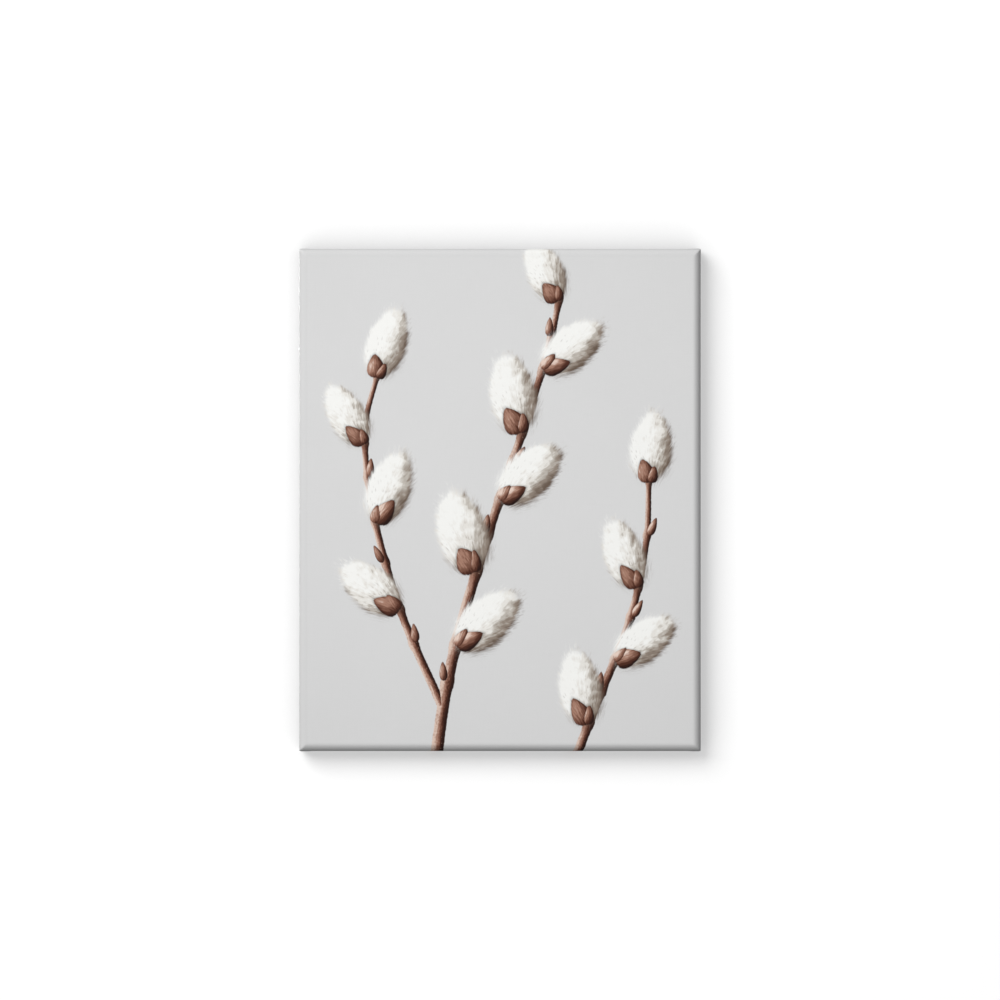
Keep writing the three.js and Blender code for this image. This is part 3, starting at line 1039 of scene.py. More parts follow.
@dataclass(frozen=True)
class RawCotton:
    """The bare back of the canvas: unbleached cotton with uneven threads and flecks.

    Attributes:
        weave: The cloth's relief.
    """

    weave: Weave = Weave(pitch=0.85, depth=0.12)

    def build(self) -> bpy.types.Material:
        """Make the material."""
        graph, material = Graph.of_material("raw_cotton")
        across, up, _ = graph.split(graph.field("flat"))
        place = graph.join(across, up)
        threads = self.weave.relief(graph, place)
        warp = graph.noise(graph.join(across * 0.75, up * 0.035), 1.0, 3.0, 0.6)
        weft = graph.noise(graph.join(across * 0.03, up * 0.75), 1.0, 3.0, 0.6)
        cloud = graph.noise(place, 0.012, 3.0)
        # Painted shade: darker where the threads dip, between them; the warp, weft and cloud terms are
        # the cotton's own uneven colour.
        tone = 0.84 + threads * 0.12 + (warp - 0.5) * 0.28 + (weft - 0.5) * 0.28 + (cloud - 0.5) * 0.1
        colour = graph.shade(linear(226, 214, 190), tone)
        fleck = graph.add("TexVoronoi", {"Vector": place, "Scale": 0.05, "Randomness": 1.0}, "Distance")
        colour = graph.mix(graph.fall(fleck, 0.014, 0.03) * 0.55, colour, linear(112, 84, 52))
        normal = graph.bump(threads, self.weave.depth, graph.bump(warp * weft * 3.0, 0.25))
        graph.surface(colour, 0.9, normal, Specular_IOR_Level=0.2, Sheen_Weight=0.15)
        return material


@dataclass(frozen=True)
class CottonThread:
    """Loose canvas threads: unbleached cotton, darker and lighter along its length."""

    def build(self) -> bpy.types.Material:
        """Make the material."""
        graph, material = Graph.of_material("cotton_thread")
        place = graph.millimetres()
        tone = 0.82 + graph.noise(place, 0.35, 3.0, 0.6) * 0.36
        ply = graph.noise(place, 6.0, 1.0)
        colour = graph.shade(linear(231, 222, 204), tone)
        graph.surface(colour, 0.9, graph.bump(ply, 0.05), Specular_IOR_Level=0.2, Sheen_Weight=0.2)
        return material


@dataclass(frozen=True)
class Timber:
    """A kind of wood, and the pieces of the frame that are sawn from it.

    Attributes:
        name: What it is called.
        prefix: What the names of its pieces in the model start with.
        upright: The words in the names of those pieces whose grain runs up.
        away: How far from a piece the heart of its tree usually lay.
        rings: The least and the greatest distance between year rings.
        early: The colour of the wood that grows first in a year.
        late: The colour of the wood that grows last.
        contrast: How much the late wood shows.
        knots: How many knots show, from 0 to 1.
        swing: How far off straight ahead the heart may be, in radians.
        nearness: The least and the greatest share of its usual distance.
    """

    name: str
    prefix: str
    upright: tuple[str, str]
    away: float
    rings: tuple[float, float]
    early: Colour
    late: Colour
    contrast: float
    knots: float
    swing: float = 0.9
    nearness: tuple[float, float] = (0.6, 1.3)

    def saw(self, node: str, rng: np.random.Generator) -> "SawnWood":
        """Choose the wood of one piece, some way off its tree's heart, with the grain along it.

        Args:
            node: The model's piece.
            rng: What its place in the tree and its rings are drawn from.

        Returns:
            Its finish.
        """
        runs_up = any(word in node for word in self.upright)
        low, high = box_mm(node)
        middle = (low + high) / 2
        deep = -middle[0] if runs_up else middle[2]
        angle = rng.uniform(-self.swing, self.swing) - math.pi / 2
        reach = self.away * rng.uniform(*self.nearness)
        heart = middle[1] + reach * math.sin(angle), deep + reach * math.cos(angle)
        turn = (0.0, math.pi / 2 if runs_up else 0.0, 0.0)
        return SawnWood(f"{self.name}_{node}", self, turn, heart, float(rng.uniform(*self.rings)))


@dataclass(frozen=True)
class SawnWood:
    """The planed wood of one piece.

    Attributes:
        name: The finish's name.
        timber: The kind of wood.
        turn: The turns about x, y and z that bring the grain to the local x axis.
        heart: Where the tree's heart runs, across the grain, from the model's origin.
        ring: The distance between year rings.
    """

    name: str
    timber: Timber
    turn: tuple[float, float, float]
    heart: tuple[float, float]
    ring: float

    def build(self) -> bpy.types.Material:
        """Make the material: rings round the heart, bent by slow noise, and fine fibres."""
        graph, material = Graph.of_material(self.name)
        metres = graph.add("TexCoord", {}, "Object")
        mapping = {"Vector": metres, "Rotation": self.turn, "Scale": (1 / MM,) * 3}
        along, across, deep = graph.split(graph.add("Mapping", mapping, vector_type="POINT"))
        place = graph.join(along * 0.012, across * 0.05, deep * 0.05)
        sway = graph.noise(place, 1.0, 2.0) - 0.5
        knot_cell = graph.join(along * 0.0062, across * 0.02, deep * 0.02)
        cells = {"Vector": knot_cell, "Scale": 1.0, "Randomness": 1.0}
        knot = graph.add("TexVoronoi", cells, "Distance")
        swirl = graph.fall(knot, 0.02, 0.3) * self.timber.knots
        y = across - self.heart[0] + sway * 9.0 + swirl * 7.0
        z = deep - self.heart[1] + sway * 6.0
        radius = graph.math("SQRT", y * y + z * z)
        year = graph.math("FRACT", radius / self.ring + sway * 0.6)
        late = graph.rise(year, 0.25, 0.88) * graph.fall(year, 0.9, 1.0)
        fibre = graph.noise(graph.join(along * 0.09, across * 3.2, deep * 3.2), 1.0, 3.0, 0.62)
        pores = graph.noise(graph.join(along * 0.35, across * 7.0, deep * 7.0), 1.0, 1.0)
        colour = graph.mix(late * self.timber.contrast, self.timber.early, self.timber.late)
        colour = graph.shade(colour, 0.93 + (fibre - 0.5) * 0.34 + sway * 0.14)
        colour = graph.mix(graph.rise(pores, 0.62, 0.78) * 0.22, colour, self.timber.late)
        heartwood = graph.fall(knot, 0.02, 0.06) * self.timber.knots
        colour = graph.mix(heartwood * 0.85, colour, linear(112, 66, 36))
        normal = graph.bump(fibre, 0.10, graph.bump(late, 0.05))
        graph.surface(colour, 0.6 + (fibre - 0.5) * 0.25, normal, Specular_IOR_Level=0.3)
        return material


@dataclass(frozen=True)
class PlatedSteel:
    """Bright metal with a thin plating, faintly scratched and clouded.

    Attributes:
        name: The finish's name.
        bright: The plating's colour.
        dull: Its colour where it has clouded.
        roughness: How matt the clean plating is.
    """

    name: str
    bright: Colour
    dull: Colour
    roughness: float

    def build(self) -> bpy.types.Material:
        """Make the material."""
        graph, material = Graph.of_material(self.name)
        place = graph.millimetres()
        cloud = graph.noise(place, 0.45, 3.0, 0.6)
        across, deep, up = graph.split(place)
        scratch = graph.noise(graph.join(across * 0.5, deep * 5.0, up * 5.0), 1.0, 3.0, 0.7)
        colour = graph.mix(graph.rise(cloud, 0.42, 0.72), self.bright, self.dull)
        roughness = self.roughness + (cloud - 0.5) * 0.3 + (scratch - 0.5) * 0.2
        graph.surface(colour, roughness, graph.bump(scratch, 0.02), Metallic=1.0)
        return material


# -------------------- canvas


@dataclass
class Rim:
    """The outline that a skin's rings run round, with one value for each point.

    Attributes:
        numbers: The points' numbers in the front's grid.
        plan: Their x and z, from the middle of the panel.
        laid: Their places on the flat cloth.
        outward: The way out of their side, or of both sides at a corner.
        corner: Their distances from the nearest corner's edge.
        lapping: 1 on the top and the bottom, whose cloth laps over the corners.
        sides: Whether they are on the left or right, and whether on the top or bottom.
        ragged: How unevenly the hem is cut there, from -1 to 1.
    """

    numbers: Array
    plan: Array
    laid: Array
    outward: Array
    corner: Array
    lapping: Array
    sides: Array
    ragged: Array


@dataclass
class StretchedCanvas:
    """The printed cloth: one sheet that wraps the frame and is stapled behind it.

    It has an outer skin, which is fine, and an inner one, which is coarse, joined at
    the cut edge of the hem. Each skin is a grid over the front, with the rounded edges
    on its outermost cells, and then rings that run round the panel: back along the
    sides, over the back edge and in along the hem.

    Attributes:
        picture: What is printed on it.
        pins: For each side, the places along it where the hem is held.
        depth: How deep the wrapped panel is.
        edge_radius: The radius of the front edges.
        thickness: The cloth's thickness.
        hem: How far the cloth reaches in over the back.
        corner_radius: The radius of the panel's corners in plan.
        back_radius: The radius that the cloth turns over the back edge with.
        fold_width: The width of the spare cloth folded in at a corner.
        fold_height: How far that lifts the cloth.
        fold_start: Where beside the corner the lift starts and where it is full.
        fold_soft: How far to both sides of the fold's border the lift fades out.
        fold_least: The least share of the lift, where the fold starts at the front.
        pucker: How far the hem rises between its pins.
        pucker_start: How far inside the outline it starts to rise.
        uneven: How uneven the puckers are, as a share of their height.
        grip: How far along the hem a pin or a mitre still holds it down.
        fray: How uneven the hem's cut edge is.
        fray_reach: How far from the cut edge that reaches.
        wavers: How often each of the waves in it goes round the panel.
        mitre: How softly two rounded edges meet at a corner, from 0 to 1.
        grid: The cells across and up the flat front, and over a rounded edge.
        ring_rows: The rows of the side, of the back edge and of the hem.
        coarse: How many times wider the inner skin's cells are.
        seed: What the small differences are drawn from.
        half: Half of the panel's width and height.
        middle: The x and z of its middle.
        front: The y of its front.
    """

    picture: Picture
    pins: dict[str, Array]
    depth: float = 20.0
    edge_radius: float = 8.0
    thickness: float = 0.5
    hem: float = 28.0
    corner_radius: float = 0.8
    back_radius: float = 0.85
    fold_width: float = 20.0
    fold_height: float = 0.6
    fold_start: tuple[float, float] = (0.55, 1.3)
    fold_soft: float = 1.6
    fold_least: float = 0.4
    pucker: float = 0.7
    pucker_start: float = 1.0
    uneven: float = 0.25
    grip: float = 11.0
    fray: float = 0.5
    fray_reach: float = 2.0
    wavers: tuple[int, ...] = (29, 67, 113, 171)
    mitre: float = 0.45
    grid: tuple[int, int, int] = (204, 256, 16)
    ring_rows: tuple[int, int, int] = (4, 4, 8)
    coarse: int = 4
    seed: int = 77
    half: Array = field(init=False)
    middle: Array = field(init=False)
    front: float = field(init=False)

    def __post_init__(self) -> None:
        """Take the panel's size and place from the model."""
        self.middle, self.half = panel()
        self.front = box_mm("canvas")[0][1]

    @property
    def flat_front(self) -> tuple[float, float]:
        """Half of the width and of the height of the front between its rounded edges."""
        return tuple(float(half) for half in self.half - self.edge_radius)

    @property
    def flat_size(self) -> tuple[float, float]:
        """The width and the height of the sheet as it was cut, in metres."""
        spare = self.edge_radius * math.pi / 2 + self.depth - self.edge_radius + self.hem
        size = 2 * (self.half - self.edge_radius + spare) * MM
        return float(size[0]), float(size[1])

    def around(self, flat: Array, half: float, radius: float) -> tuple[Array, Array]:
        """Wrap a flat distance from the middle over a rounded edge.

        The cloth runs straight to where the edge starts, then along a quarter circle,
        so its distance past that point is an arc's length.

        Args:
            flat: Distances on the flat cloth.
            half: Half of this skin's width or height.
            radius: This skin's edge radius.

        Returns:
            The distances from the middle, and the depths behind the front.
        """
        straight = half - radius
        angle = np.clip((np.abs(flat) - straight) / self.edge_radius, 0, math.pi / 2)
        reach = np.minimum(np.abs(flat), straight) + radius * np.sin(angle)
        return np.sign(flat) * reach, radius * (1 - np.cos(angle))

    def flat_steps(self, half: float, cells: int, band: int) -> Array:
        """Return flat distances across the front: even cells, and those of both edges."""
        straight = half - self.edge_radius
        reach = straight + self.edge_radius * math.pi / 2
        edge = np.linspace(straight, reach, band + 1)[1:]
        return np.concatenate([-edge[::-1], np.linspace(-straight, straight, cells + 1), edge])

    def round_corner(self, plan: Array, half: Array) -> Array:
        """Round a skin's corners in plan.

        In a square at each corner, a point's offset from the inner corner is scaled by
        its larger part over its length, which makes the square a quarter of a disc.
        """
        start = half - self.corner_radius
        offset = np.maximum(np.abs(plan) - start, 0)
        length = np.maximum(np.hypot(offset[..., 0], offset[..., 1]), 1e-9)
        share = offset.max(-1) / length
        return np.sign(plan) * (np.minimum(np.abs(plan), start) + offset * share[..., None])

    def face(self, inset: float, coarse: int) -> tuple[Array, Array]:
        """Make the grid over the front and its rounded edges.

        The depth at a point is the larger of the depths that its two edges give, made
        smooth where they meet as (a + b + hypot(a - b, mitre * min(a, b))) / 2.

        Args:
            inset: How far inside the outer skin this skin lies.
            coarse: How many times wider its cells are.

        Returns:
            The points and their places on the flat cloth, as grids.
        """
        across, up, band = (cells // coarse for cells in self.grid)
        half, radius = self.half - inset, self.edge_radius - inset
        u = self.flat_steps(self.half[0], across, band)
        v = self.flat_steps(self.half[1], up, band)
        x, back_x = self.around(u, half[0], radius)
        z, back_z = self.around(v, half[1], radius)
        back_x, back_z = np.meshgrid(back_x, back_z)
        soft = self.mitre * np.minimum(back_x, back_z)
        back = (back_x + back_z + np.hypot(back_x - back_z, soft)) / 2
        plan = self.round_corner(np.stack(np.meshgrid(x, z), axis=-1), half)
        points = np.stack([plan[..., 0], self.front + inset + back, plan[..., 1]], axis=-1)
        return points, np.stack(np.meshgrid(u, v), axis=-1)

    def rim(self, points: Array, flat: Array, inset: float) -> Rim:
        """Gather what the rings need to know about the outline of a front grid.

        Args:
            points: The grid's points.
            flat: Their places on the flat cloth.
            inset: How far inside the outer skin the grid lies.

        Returns:
            The outline.
        """
        rows, columns = points.shape[:2]
        grid = np.arange(rows * columns).reshape(rows, columns)
        numbers = np.concatenate([grid[0, :-1], grid[:-1, -1], grid[-1, :0:-1], grid[:0:-1, 0]])
        laid = flat.reshape(-1, 2)[numbers]
        sides = np.abs(laid) >= np.abs(laid).max(0) - 1e-6
        radius = self.edge_radius - inset
        square = [self.around(laid[:, i], self.half[i] - inset, radius)[0] for i in (0, 1)]
        to_edge = self.half - inset - np.abs(np.stack(square, axis=-1))
        rng = np.random.default_rng(self.seed)
        share = np.arange(len(numbers)) / len(numbers)
        return Rim(
            numbers=numbers,
            plan=points.reshape(-1, 3)[numbers][:, [0, 2]],
            laid=laid,
            outward=np.where(sides, np.sign(laid), 0.0),
            corner=to_edge.max(1),
            lapping=(sides[:, 1] & ~sides[:, 0]).astype(float),
            sides=sides,
            ragged=waver(share, [1 / count for count in self.wavers], rng),
        )

    def free(self, plan: Array, sides: Array, pulled: float) -> Array:
        """Work out how free the hem is to rise between its pins and its mitred ends.

        It is 1 - exp(-(d / grip)^2), with d the distance along the side from the nearest.

        Args:
            plan: A ring's points.
            sides: The sides that they are on.
            pulled: How far inside the outline the ring lies.

        Returns:
            From 0, held down, to 1, free.
        """
        found = np.ones(len(plan))
        named = {"bottom": (1, -1), "top": (1, 1), "left": (0, -1), "right": (0, 1)}
        for name, (axis, sign) in named.items():
            here = sides[:, axis] & (np.sign(plan[:, axis]) == sign)
            along = plan[here, 1 - axis]
            away = np.abs(along[:, None] - self.pins[name]).min(1)
            away = np.minimum(away, np.abs(self.half[1 - axis] - pulled - np.abs(along)))
            found[here] = np.minimum(found[here], 1 - np.exp(-((away / self.grip) ** 2)))
        return found

    def stations(self, inset: float, coarse: int) -> Iterable[tuple[float, float, float]]:
        """Yield each ring's depth in y, how far in it is pulled, and its distance along the cloth."""
        side, turn, hem = (max(1, rows // coarse) for rows in self.ring_rows)
        radius = self.back_radius - inset
        back = self.front + self.depth - inset
        straight = self.depth - self.edge_radius - self.back_radius
        for share in np.linspace(0, 1, side + 1)[1:]:
            yield self.front + self.edge_radius + straight * share, 0.0, straight * share
        for angle in np.linspace(0, math.pi / 2, turn + 1)[1:]:
            turned = straight + self.back_radius * angle
            yield back - radius * (1 - math.sin(angle)), radius * (1 - math.cos(angle)), turned
        for pulled in np.linspace(self.back_radius, self.hem, hem + 1)[1:]:
            yield back, pulled - inset, turned + pulled - self.back_radius

    def fold(self, rim: Rim, wrap: float) -> Array:
        """Work out how far the spare cloth folded in at the corners lifts the cloth.

        The lift starts sharply beside the corner. It ends softly on a line that leaves
        the front corner at 45 degrees, as far as the back edge, and runs on beside the
        mitre over the hem.
        """
        behind = wrap + self.edge_radius
        border, soft = min(behind, self.fold_width), self.fold_soft
        lift = smooth_step(*self.fold_start, rim.corner)
        lift = lift * smooth_step(border + soft, border - soft, rim.corner)
        spare = min(1.0, behind / self.fold_width + self.fold_least)
        return self.fold_height * lift * rim.lapping * spare

    def ring(self, rim: Rim, depth: float, pulled: float, wrap: float, outer: bool) -> Array:
        """Make one ring of points.

        Args:
            rim: The outline.
            depth: Where the ring lies in y.
            pulled: How far inside the outline it lies.
            wrap: Its distance along the cloth from the outline.
            outer: Whether it is on the outer skin, which folds and puckers.

        Returns:
            The points.
        """
        last = smooth_step(self.hem - self.fray_reach, self.hem, np.array(pulled))
        inward = pulled + self.fray * rim.ragged * last
        plan = rim.plan * (1 - inward[:, None] / self.half)
        y = np.full(len(plan), depth)
        if outer:
            lift = self.fold(rim, wrap)
            over = float(smooth_step(0, self.back_radius, np.array(pulled)))
            plan = plan + rim.outward * (lift * (1 - over))[:, None]
            rise = self.pucker * smooth_step(self.pucker_start, self.hem, np.array(pulled))
            rise = rise * self.free(plan, rim.sides, pulled)
            y = y + lift * over + rise * (1 - self.uneven + self.uneven * rim.ragged)
        return np.stack([plan[:, 0], y, plan[:, 1]], axis=-1)

    def skin(self, inset: float, coarse: int) -> tuple[Array, Array, list[Array], Array]:
        """Make one skin.

        Args:
            inset: How far inside the outer skin it lies.
            coarse: How many times wider its cells are.

        Returns:
            Its points, their places on the cloth with the distance that they are past
            the outline, its faces, and the numbers of the points along the cut edge.
        """
        face, flat = self.face(inset, coarse)
        rim = self.rim(face, flat, inset)
        count = flat.shape[0] * flat.shape[1]
        points = [face.reshape(-1, 3)]
        places = [np.column_stack([flat.reshape(-1, 2), np.zeros(count)])]
        faces = [lattice(*flat.shape[:2])]
        near = rim.numbers
        for depth, pulled, wrap in self.stations(inset, coarse):
            points.append(self.ring(rim, depth, pulled, wrap, inset == 0))
            places.append(np.column_stack([rim.laid + rim.outward * wrap, np.full(len(near), wrap)]))
            far = count + np.arange(len(near))
            faces.append(np.stack([near, far, np.roll(far, -1), np.roll(near, -1)], axis=-1))
            near = far
            count += len(near)
        return np.concatenate(points), np.concatenate(places), faces, near

    def build(self, finishes: Sequence[bpy.types.Material], threads: bpy.types.Object) -> None:
        """Make the sheet.

        Args:
            finishes: Those of its outer and its inner side.
            threads: The loose threads along its cut edge; not used.
        """
        points, places, faces, cut = self.skin(0.0, 1)
        more, more_places, inner, inner_cut = self.skin(self.thickness, self.coarse)
        inner = [block[:, ::-1] + len(points) for block in inner]
        inner_cut = inner_cut + len(points)
        steps = self.coarse * np.arange(len(inner_cut))[:, None] + np.arange(self.coarse, -1, -1)
        band = np.column_stack([inner_cut, np.roll(inner_cut, -1), cut[steps % len(cut)]])
        points, places = np.vstack([points, more]), np.vstack([places, more_places])
        points[:, [0, 2]] += self.middle
        piece = new_piece("printed_canvas", points, [*faces, *inner, band])
        outside = sum(len(block) for block in faces)
        sides = (np.arange(len(piece.data.polygons)) >= outside).astype(np.int32)
        set_finishes(piece, finishes)
        piece.data.polygons.foreach_set("material_index", sides)
        self.store(piece, places)
        flat = self.flat_size
        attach(piece, BODY)
        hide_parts("canvas")
        LOG.info("%s: %d faces, cut %.3f by %.3f m", piece.name, len(piece.data.polygons), *flat)

    def store(self, piece: bpy.types.Object, places: Array) -> None:
        """Store what the print needs to know at each point of the cloth."""
        add_field(piece, "flat", places)
        for index, twig in enumerate(self.picture.twigs, start=1):
            add_field(piece, f"twig_{index}", twig.field(places[:, :2]))
        add_field(piece, "shadow", self.picture.shadow(places[:, :2]))


@dataclass
class FrayedEdge:
    """Loose threads along the hem's cut edge, lying on the backs of the bars.

    Attributes:
        hem: How far in the cut edge lies.
        tuck: How far under the hem a thread starts.
        clear: How far from the mitres the threads stay.
        threads: How many there are on each side of the panel.
        reach: How far the shortest and the longest come out.
        rarity: The power that makes the long ones rare.
        curl: The most that a thread bends to one side, as a share of its reach.
        wave: The most that it waves, as a share of its reach.
        phases: Where in a wave it may start, and how far the wave runs, in radians.
        radius: Half of a thread's width.
        taper: How much of that is lost by its end.
        rise: The heights above the bars where a thread leaves the cloth and where it ends.
        steps: How many stretches a thread has.
        sides: How many sides its section has.
        seed: What their places and curls are drawn from.
    """

    hem: float = 28.0
    tuck: float = 0.8
    clear: float = 6.0
    threads: int = 84
    reach: tuple[float, float] = (1.0, 7.0)
    rarity: float = 2.6
    curl: float = 0.8
    wave: float = 0.12
    phases: tuple[float, float] = (6.3, 7.0)
    radius: float = 0.19
    taper: float = 0.35
    rise: tuple[float, float] = (0.42, 0.18)
    steps: int = 9
    sides: int = 5
    seed: int = 903

    def build(self, finish: bpy.types.Material) -> bpy.types.Object:
        """Make all the threads as one piece.

        A thread runs inwards from the cut edge and bends to one side as the square of
        the distance along it, with a slow wave on top.

        Args:
            finish: The threads' material.

        Returns:
            The piece.
        """
        middle, half = panel()
        bars = box_mm("bar_bottom")[1][1]
        rng = np.random.default_rng(self.seed)
        share = np.linspace(0, 1, self.steps + 1)
        sections = self.radius * circle(self.sides) * (1 - self.taper * share[:, None, None])
        shortest, longest = self.reach
        high, low = self.rise
        latest, run = self.phases
        points, faces = [], []
        for axis, sign in ((0, -1), (0, 1), (1, -1), (1, 1)):
            for _ in range(self.threads):
                reach = shortest + (longest - shortest) * rng.uniform() ** self.rarity
                start = (half[1 - axis] - self.hem - self.clear) * rng.uniform(-1, 1)
                curl, wave, phase = rng.uniform((-self.curl, 0, 0), (self.curl, self.wave, latest))
                inward = half[axis] - self.hem + self.tuck - (reach + self.tuck) * share
                aside = start + reach * (curl * share**2 + wave * np.sin(phase + run * share))
                path = np.empty((len(share), 3))
                path[:, [0, 2][axis]] = sign * inward + middle[axis]
                path[:, [2, 0][axis]] = aside + middle[1 - axis]
                path[:, 1] = bars + high + (low - high) * np.sqrt(share)
                tangent = tangents(path)
                across = np.cross(tangent, [0.0, 1.0, 0.0])
                more, blocks = sweep(path, across, np.cross(across, tangent), sections)
                faces.extend(block + len(points) * len(more) for block in blocks)
                points.append(more)
        piece = new_piece("frayed_threads", np.concatenate(points), faces, crease=80)
        set_finishes(piece, [finish])
        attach(piece, BODY)
        LOG.info("%s: %d threads", piece.name, len(points))
        return piece


# -------------------- frame


@dataclass
class StretcherFrame:
    """The four bars and the eight keys that tighten them, in bare wood.

    Attributes:
        timbers: The wood of the bars and the wood of the keys.
        seed: What the differences between the pieces are drawn from.
    """

    timbers: tuple[Timber, ...] = (
        Timber(
            name="pine",
            prefix="bar_",
            upright=("left", "right"),
            away=55.0,
            rings=(2.6, 4.2),
            early=linear(232, 204, 160),
            late=linear(196, 148, 96),
            contrast=0.72,
            knots=1.0,
        ),
        Timber(
            name="beech",
            prefix="key_",
            upright=("bottom", "top"),
            away=90.0,
            rings=(1.6, 2.4),
            early=linear(214, 172, 126),
            late=linear(184, 134, 90),
            contrast=0.5,
            knots=0.0,
        ),
    )
    seed: int = 5

    def dress(self) -> None:
        """Give each piece its own stretch of wood."""
        rng = np.random.default_rng(self.seed)
        for timber in self.timbers:
            nodes = nodes_named(timber.prefix)
            for node in nodes:
                set_finishes(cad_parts[node], [timber.saw(node, rng).build()])
            LOG.info("%s: %d pieces", timber.name, len(nodes))


# -------------------- fasteners


@dataclass
class WireStaples:
    """The staples that hold the hem: flat wire, bent into a crown and two chisel-cut legs.

    Attributes:
        crown: How wide a staple is over its legs.
        leg: How far its legs reach below its crown.
        wire: The wire's width and thickness.
        bend: The radius that the middle of the wire bends with.
        bow: How far the crown bows up in its middle.
        chisel: How long a leg's point is, and the share of the thickness left at its tip.
        prefix: What the names of the model's staples start with.
    """

    crown: float = 11.0
    leg: float = 7.4
    wire: tuple[float, float] = (1.2, 0.6)
    bend: float = 0.7
    bow: float = 0.07
    chisel: tuple[float, float] = (0.6, 0.2)
    prefix: str = "staple_"

    @cached_property
    def shape(self) -> tuple[Array, list[Array]]:
        """Make one staple, its crown's under side at y = 0 and its legs towards -y."""
        half, top = (self.crown - self.wire[1]) / 2, self.wire[1] / 2
        point, blunt = self.chisel
        arc = np.linspace(0, math.pi / 2, 7)
        legs = np.array([-self.leg, point - self.leg, -self.leg / 2])
        left = np.column_stack([np.full(3, -half), legs])
        turn = np.column_stack([
            self.bend * (1 - np.cos(arc)) - half,
            top - self.bend * (1 - np.sin(arc)),
        ])
        flat = np.linspace(self.bend - half, 0, 5)[1:]
        level = np.column_stack([flat, top + self.bow * (1 - (flat / (half - self.bend)) ** 2)])
        near = np.vstack([left, turn, level])
        line = np.vstack([near, near[-2::-1] * [-1, 1]])
        tangent = tangents(line)
        depth = np.zeros(len(line))
        section = rounded_section(*self.wire)
        sections = np.broadcast_to(section, (len(line), *section.shape)).copy()
        sections[[0, -1], :, 1] *= blunt
        return sweep(
            np.column_stack([line, depth]),
            np.broadcast_to([0.0, 0.0, 1.0], (len(line), 3)),
            np.column_stack([-tangent[:, 1], tangent[:, 0], depth]),
            sections,
        )

    def place(self, node: str) -> tuple[Array, Array]:
        """Find where a staple of the model lies.

        Its crown's direction is the main axis of its points, seen from behind.

        Args:
            node: The model's staple.

        Returns:
            The middle of its crown's under side, and the crown's direction.
        """
        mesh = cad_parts[node].data
        points = np.empty(len(mesh.vertices) * 3)
        mesh.vertices.foreach_get("co", points)
        points = points.reshape(-1, 3) / MM
        low, high = points.min(0), points.max(0)
        middle = (low + high) / 2
        spread = points[:, [0, 2]] - middle[[0, 2]]
        direction = np.linalg.eigh(spread.T @ spread)[1][:, -1]
        middle[1] = high[1] - self.wire[1]
        return middle, np.array([direction[0], 0.0, direction[1]])

    def build(self, finish: bpy.types.Material) -> dict[str, Array]:
        """Make all the staples.

        Args:
            finish: The wire's material.

        Returns:
            For each side of the panel, the x and z of its staples.
        """
        local, faces = self.shape
        places: dict[str, list[Array]] = {}
        for node in nodes_named(self.prefix):
            middle, along = self.place(node)
            across = np.cross(along, [0.0, 1.0, 0.0])
            points = middle + local @ np.stack([along, [0.0, 1.0, 0.0], across])
            piece = new_piece(f"wire_{node}", points, faces, crease=50)
            set_finishes(piece, [finish])
            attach(piece, BODY)
            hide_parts(node)
            side = node.removeprefix(self.prefix).split("_")[0]
            places.setdefault(side, []).append(middle[[0, 2]])
        LOG.info("staples: %d", sum(len(spots) for spots in places.values()))
        return {side: np.array(spots) for side, spots in places.items()}


